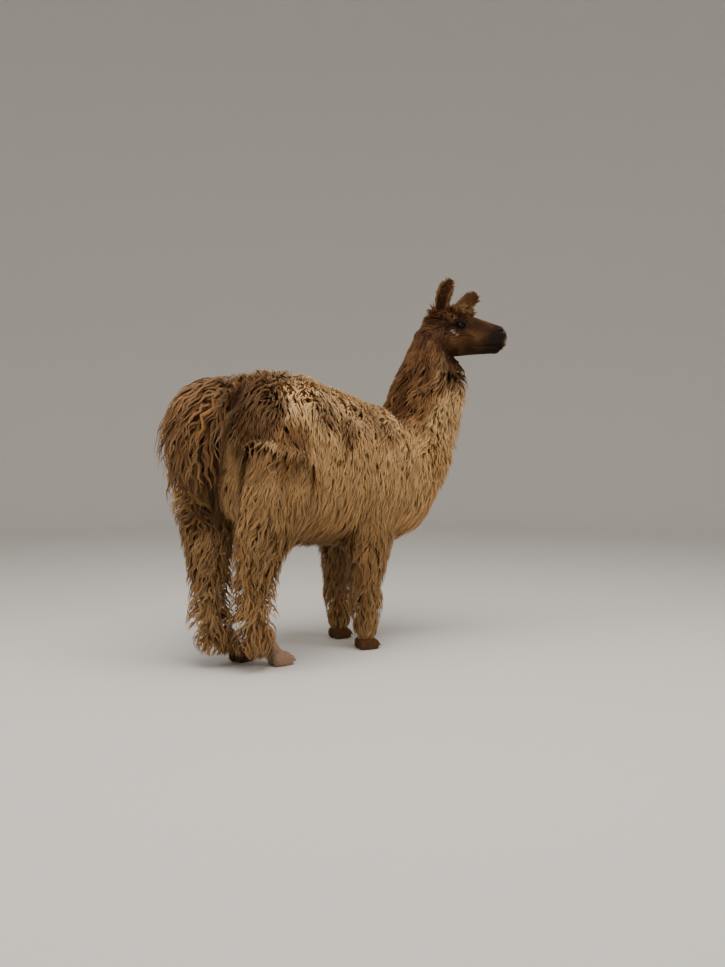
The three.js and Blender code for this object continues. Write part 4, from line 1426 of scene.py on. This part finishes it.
# the lashes
LASH_WIDTH, LASH_COLOUR = 0.0013, [0.012, 0.009, 0.008]
lash_lines = []
for side in SIDES.values():
    angle = np.linspace(math.radians(12), math.radians(168), 46)
    u = EYE_SLIT[0] * np.cos(angle) * 1.02
    w = EYE_SLIT[1] * np.sin(angle) * 1.10
    ca, sa = math.cos(EYE_SLANT), math.sin(EYE_SLANT)
    x, z = ca * u - sa * w, sa * u + ca * w
    depth = np.sqrt(np.maximum((EYE_RADIUS + LID_THICK * 0.7) ** 2 - x**2 - z**2, 1e-6))
    t = np.linspace(0, 1, 6)[None, :, None]
    root = np.stack([x, depth, z], 1)
    out = unit(np.stack([x * 0.6 + 0.004, depth, z * 0.2 + 0.001], 1))
    reach = rng.uniform(0.016, 0.024, len(root))[:, None, None]
    droop = np.array([0.1, 0, -0.55]) * t * (1.35 * (1 - t))
    lash = root[:, None] + reach * (out[:, None] * t + droop)
    lash = (lash + EYE_AT) * [1, side, 1]
    lash_lines.append(on_head(lash.reshape(-1, 3)).reshape(lash.shape))
line = np.concatenate(lash_lines)
ups = np.tile(on_head([(0, 0, 1)]) - on_head([(0, 0, 0)]), (*line.shape[:2], 1))
coat_piece("lashes", "face_brown", line, ups, np.full(len(line), LASH_WIDTH),
           np.tile(LASH_COLOUR, (len(line), 1)), head, thick=0.8, soften=0,
           root_tone=1.0, tip_tone=1.0)

# ------------------------------------------------------------------ hair of the feet
# Short close hair covers pasterns and toes, from the hems of the legs' fleece down to the
# bare leathery pads. It lies down and forward.

FOOT_REACH, FOOT_TOP, PAD_TOP = 0.14, 0.155, 0.010
for corner, (x, y, turn, _) in FEET.items():
    foot_at = PLACE[:2] + np.array([x, y]) / 1000
    near = np.linalg.norm(face_centre[:, :2] - foot_at, axis=1) < FOOT_REACH
    where = near & (face_centre[:, 2] < FOOT_TOP) & (face_centre[:, 2] > PAD_TOP)
    root, normal, part = roots(where.astype(float), 850)
    way = np.tile([math.cos(math.radians(turn)) * 0.45, math.sin(math.radians(turn)) * 0.45, -1.0],
                  (len(root), 1)) + rng.normal(0, 0.2, root.shape)
    long = (0.009 + 0.10 * np.clip(root[:, 2] - 0.05, 0, 0.12)) * rng.uniform(0.7, 1.3, len(root))
    line, ups = short_line(root, normal, way, long, np.full(len(root), 0.4))
    line[..., 2] = np.maximum(line[..., 2], 0.0015)
    width = rng.uniform(0.0028, 0.0048, len(root)) * WIDE
    coat_piece("hair_foot_" + corner, "foot_skin", line, ups, width, markings_and_painted_light(root, part),
               legs[corner], soften=0.5, root_tone=0.8, tip_tone=1.2)

# ------------------------------------------------------------------ toenails
# Each toe ends in a small curved nail of dark layered horn, which grows from the front of
# the toe and reaches down almost to the ground.

CLAW_RINGS, CLAW_ROUND = 16, 20


def claw(at, turn):
    """A nail as rings carried along an arc that dips to its point by t to the power 1.6:
    half width and height shrink as (1 - t to the power 1.8) to the power 0.6. Its last
    two points close its root and its tip."""
    t = np.linspace(0, 0.985, CLAW_RINGS)[:, None]
    angle = np.linspace(0, 2 * math.pi, CLAW_ROUND, endpoint=False)
    size = (1 - t**1.8) ** 0.6
    x = 0.028 + 0.036 * t + 0 * angle
    y = at + 0.0098 * size * np.cos(angle)
    z = 0.033 - 0.024 * t**1.6 + 0.0088 * size * np.sin(angle) * np.where(np.sin(angle) > 0, 1, 0.8)
    end = [[0.028, at, 0.033], [0.0645, at, 0.0085]]
    points = np.concatenate([np.stack([x, y, z], -1).reshape(-1, 3), end])
    return points @ turned(turn).T


a = np.arange(CLAW_ROUND)
b = (a + 1) % CLAW_ROUND
rim = CLAW_ROUND * (CLAW_RINGS - 1)
root_point = np.full(CLAW_ROUND, CLAW_ROUND * CLAW_RINGS)
claw_faces = grid_faces(CLAW_RINGS, CLAW_ROUND).tolist()
claw_faces += np.stack([root_point, b, a], 1).tolist()
claw_faces += np.stack([root_point + 1, rim + a, rim + b], 1).tolist()
horn, tree, shader = new_material("dark_horn", 0.42)
source = tree.nodes.new("ShaderNodeTexCoord")
layers = add(tree, "TexNoise", Scale=260)
link(tree, source, "Object", layers, "Vector")
ramp = tree.nodes.new("ShaderNodeValToRGB")
ramp.color_ramp.elements[0].color = (0.012, 0.009, 0.007, 1)
ramp.color_ramp.elements[1].color = (0.060, 0.045, 0.035, 1)
link(tree, layers, "Fac", ramp, "Fac")
link(tree, ramp, "Color", shader, "Base Color")
relief = add(tree, "Bump", Strength=0.4, Distance=0.0006)
link(tree, layers, "Fac", relief, "Height")
link(tree, relief, "Normal", shader, "Normal")
for corner, (x, y, turn, side) in FEET.items():
    for where, which in (("inner", -side), ("outer", side)):
        points = claw(which * (TOE_HALF + TOE_SPLIT) / 1000, math.radians(turn))
        points = points + [x / 1000, y / 1000, 0] + PLACE
        nail = bpy.data.meshes.new(f"toenail_{corner}_{where}")
        nail.from_pydata(points.tolist(), [], claw_faces)
        nail.polygons.foreach_set("use_smooth", [True] * len(nail.polygons))
        made = bpy.data.objects.new(nail.name, nail)
        bpy.context.scene.collection.objects.link(made)
        made.data.materials.append(horn)
        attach(made, "root")
        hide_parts(f"nail_{corner}_{where}")
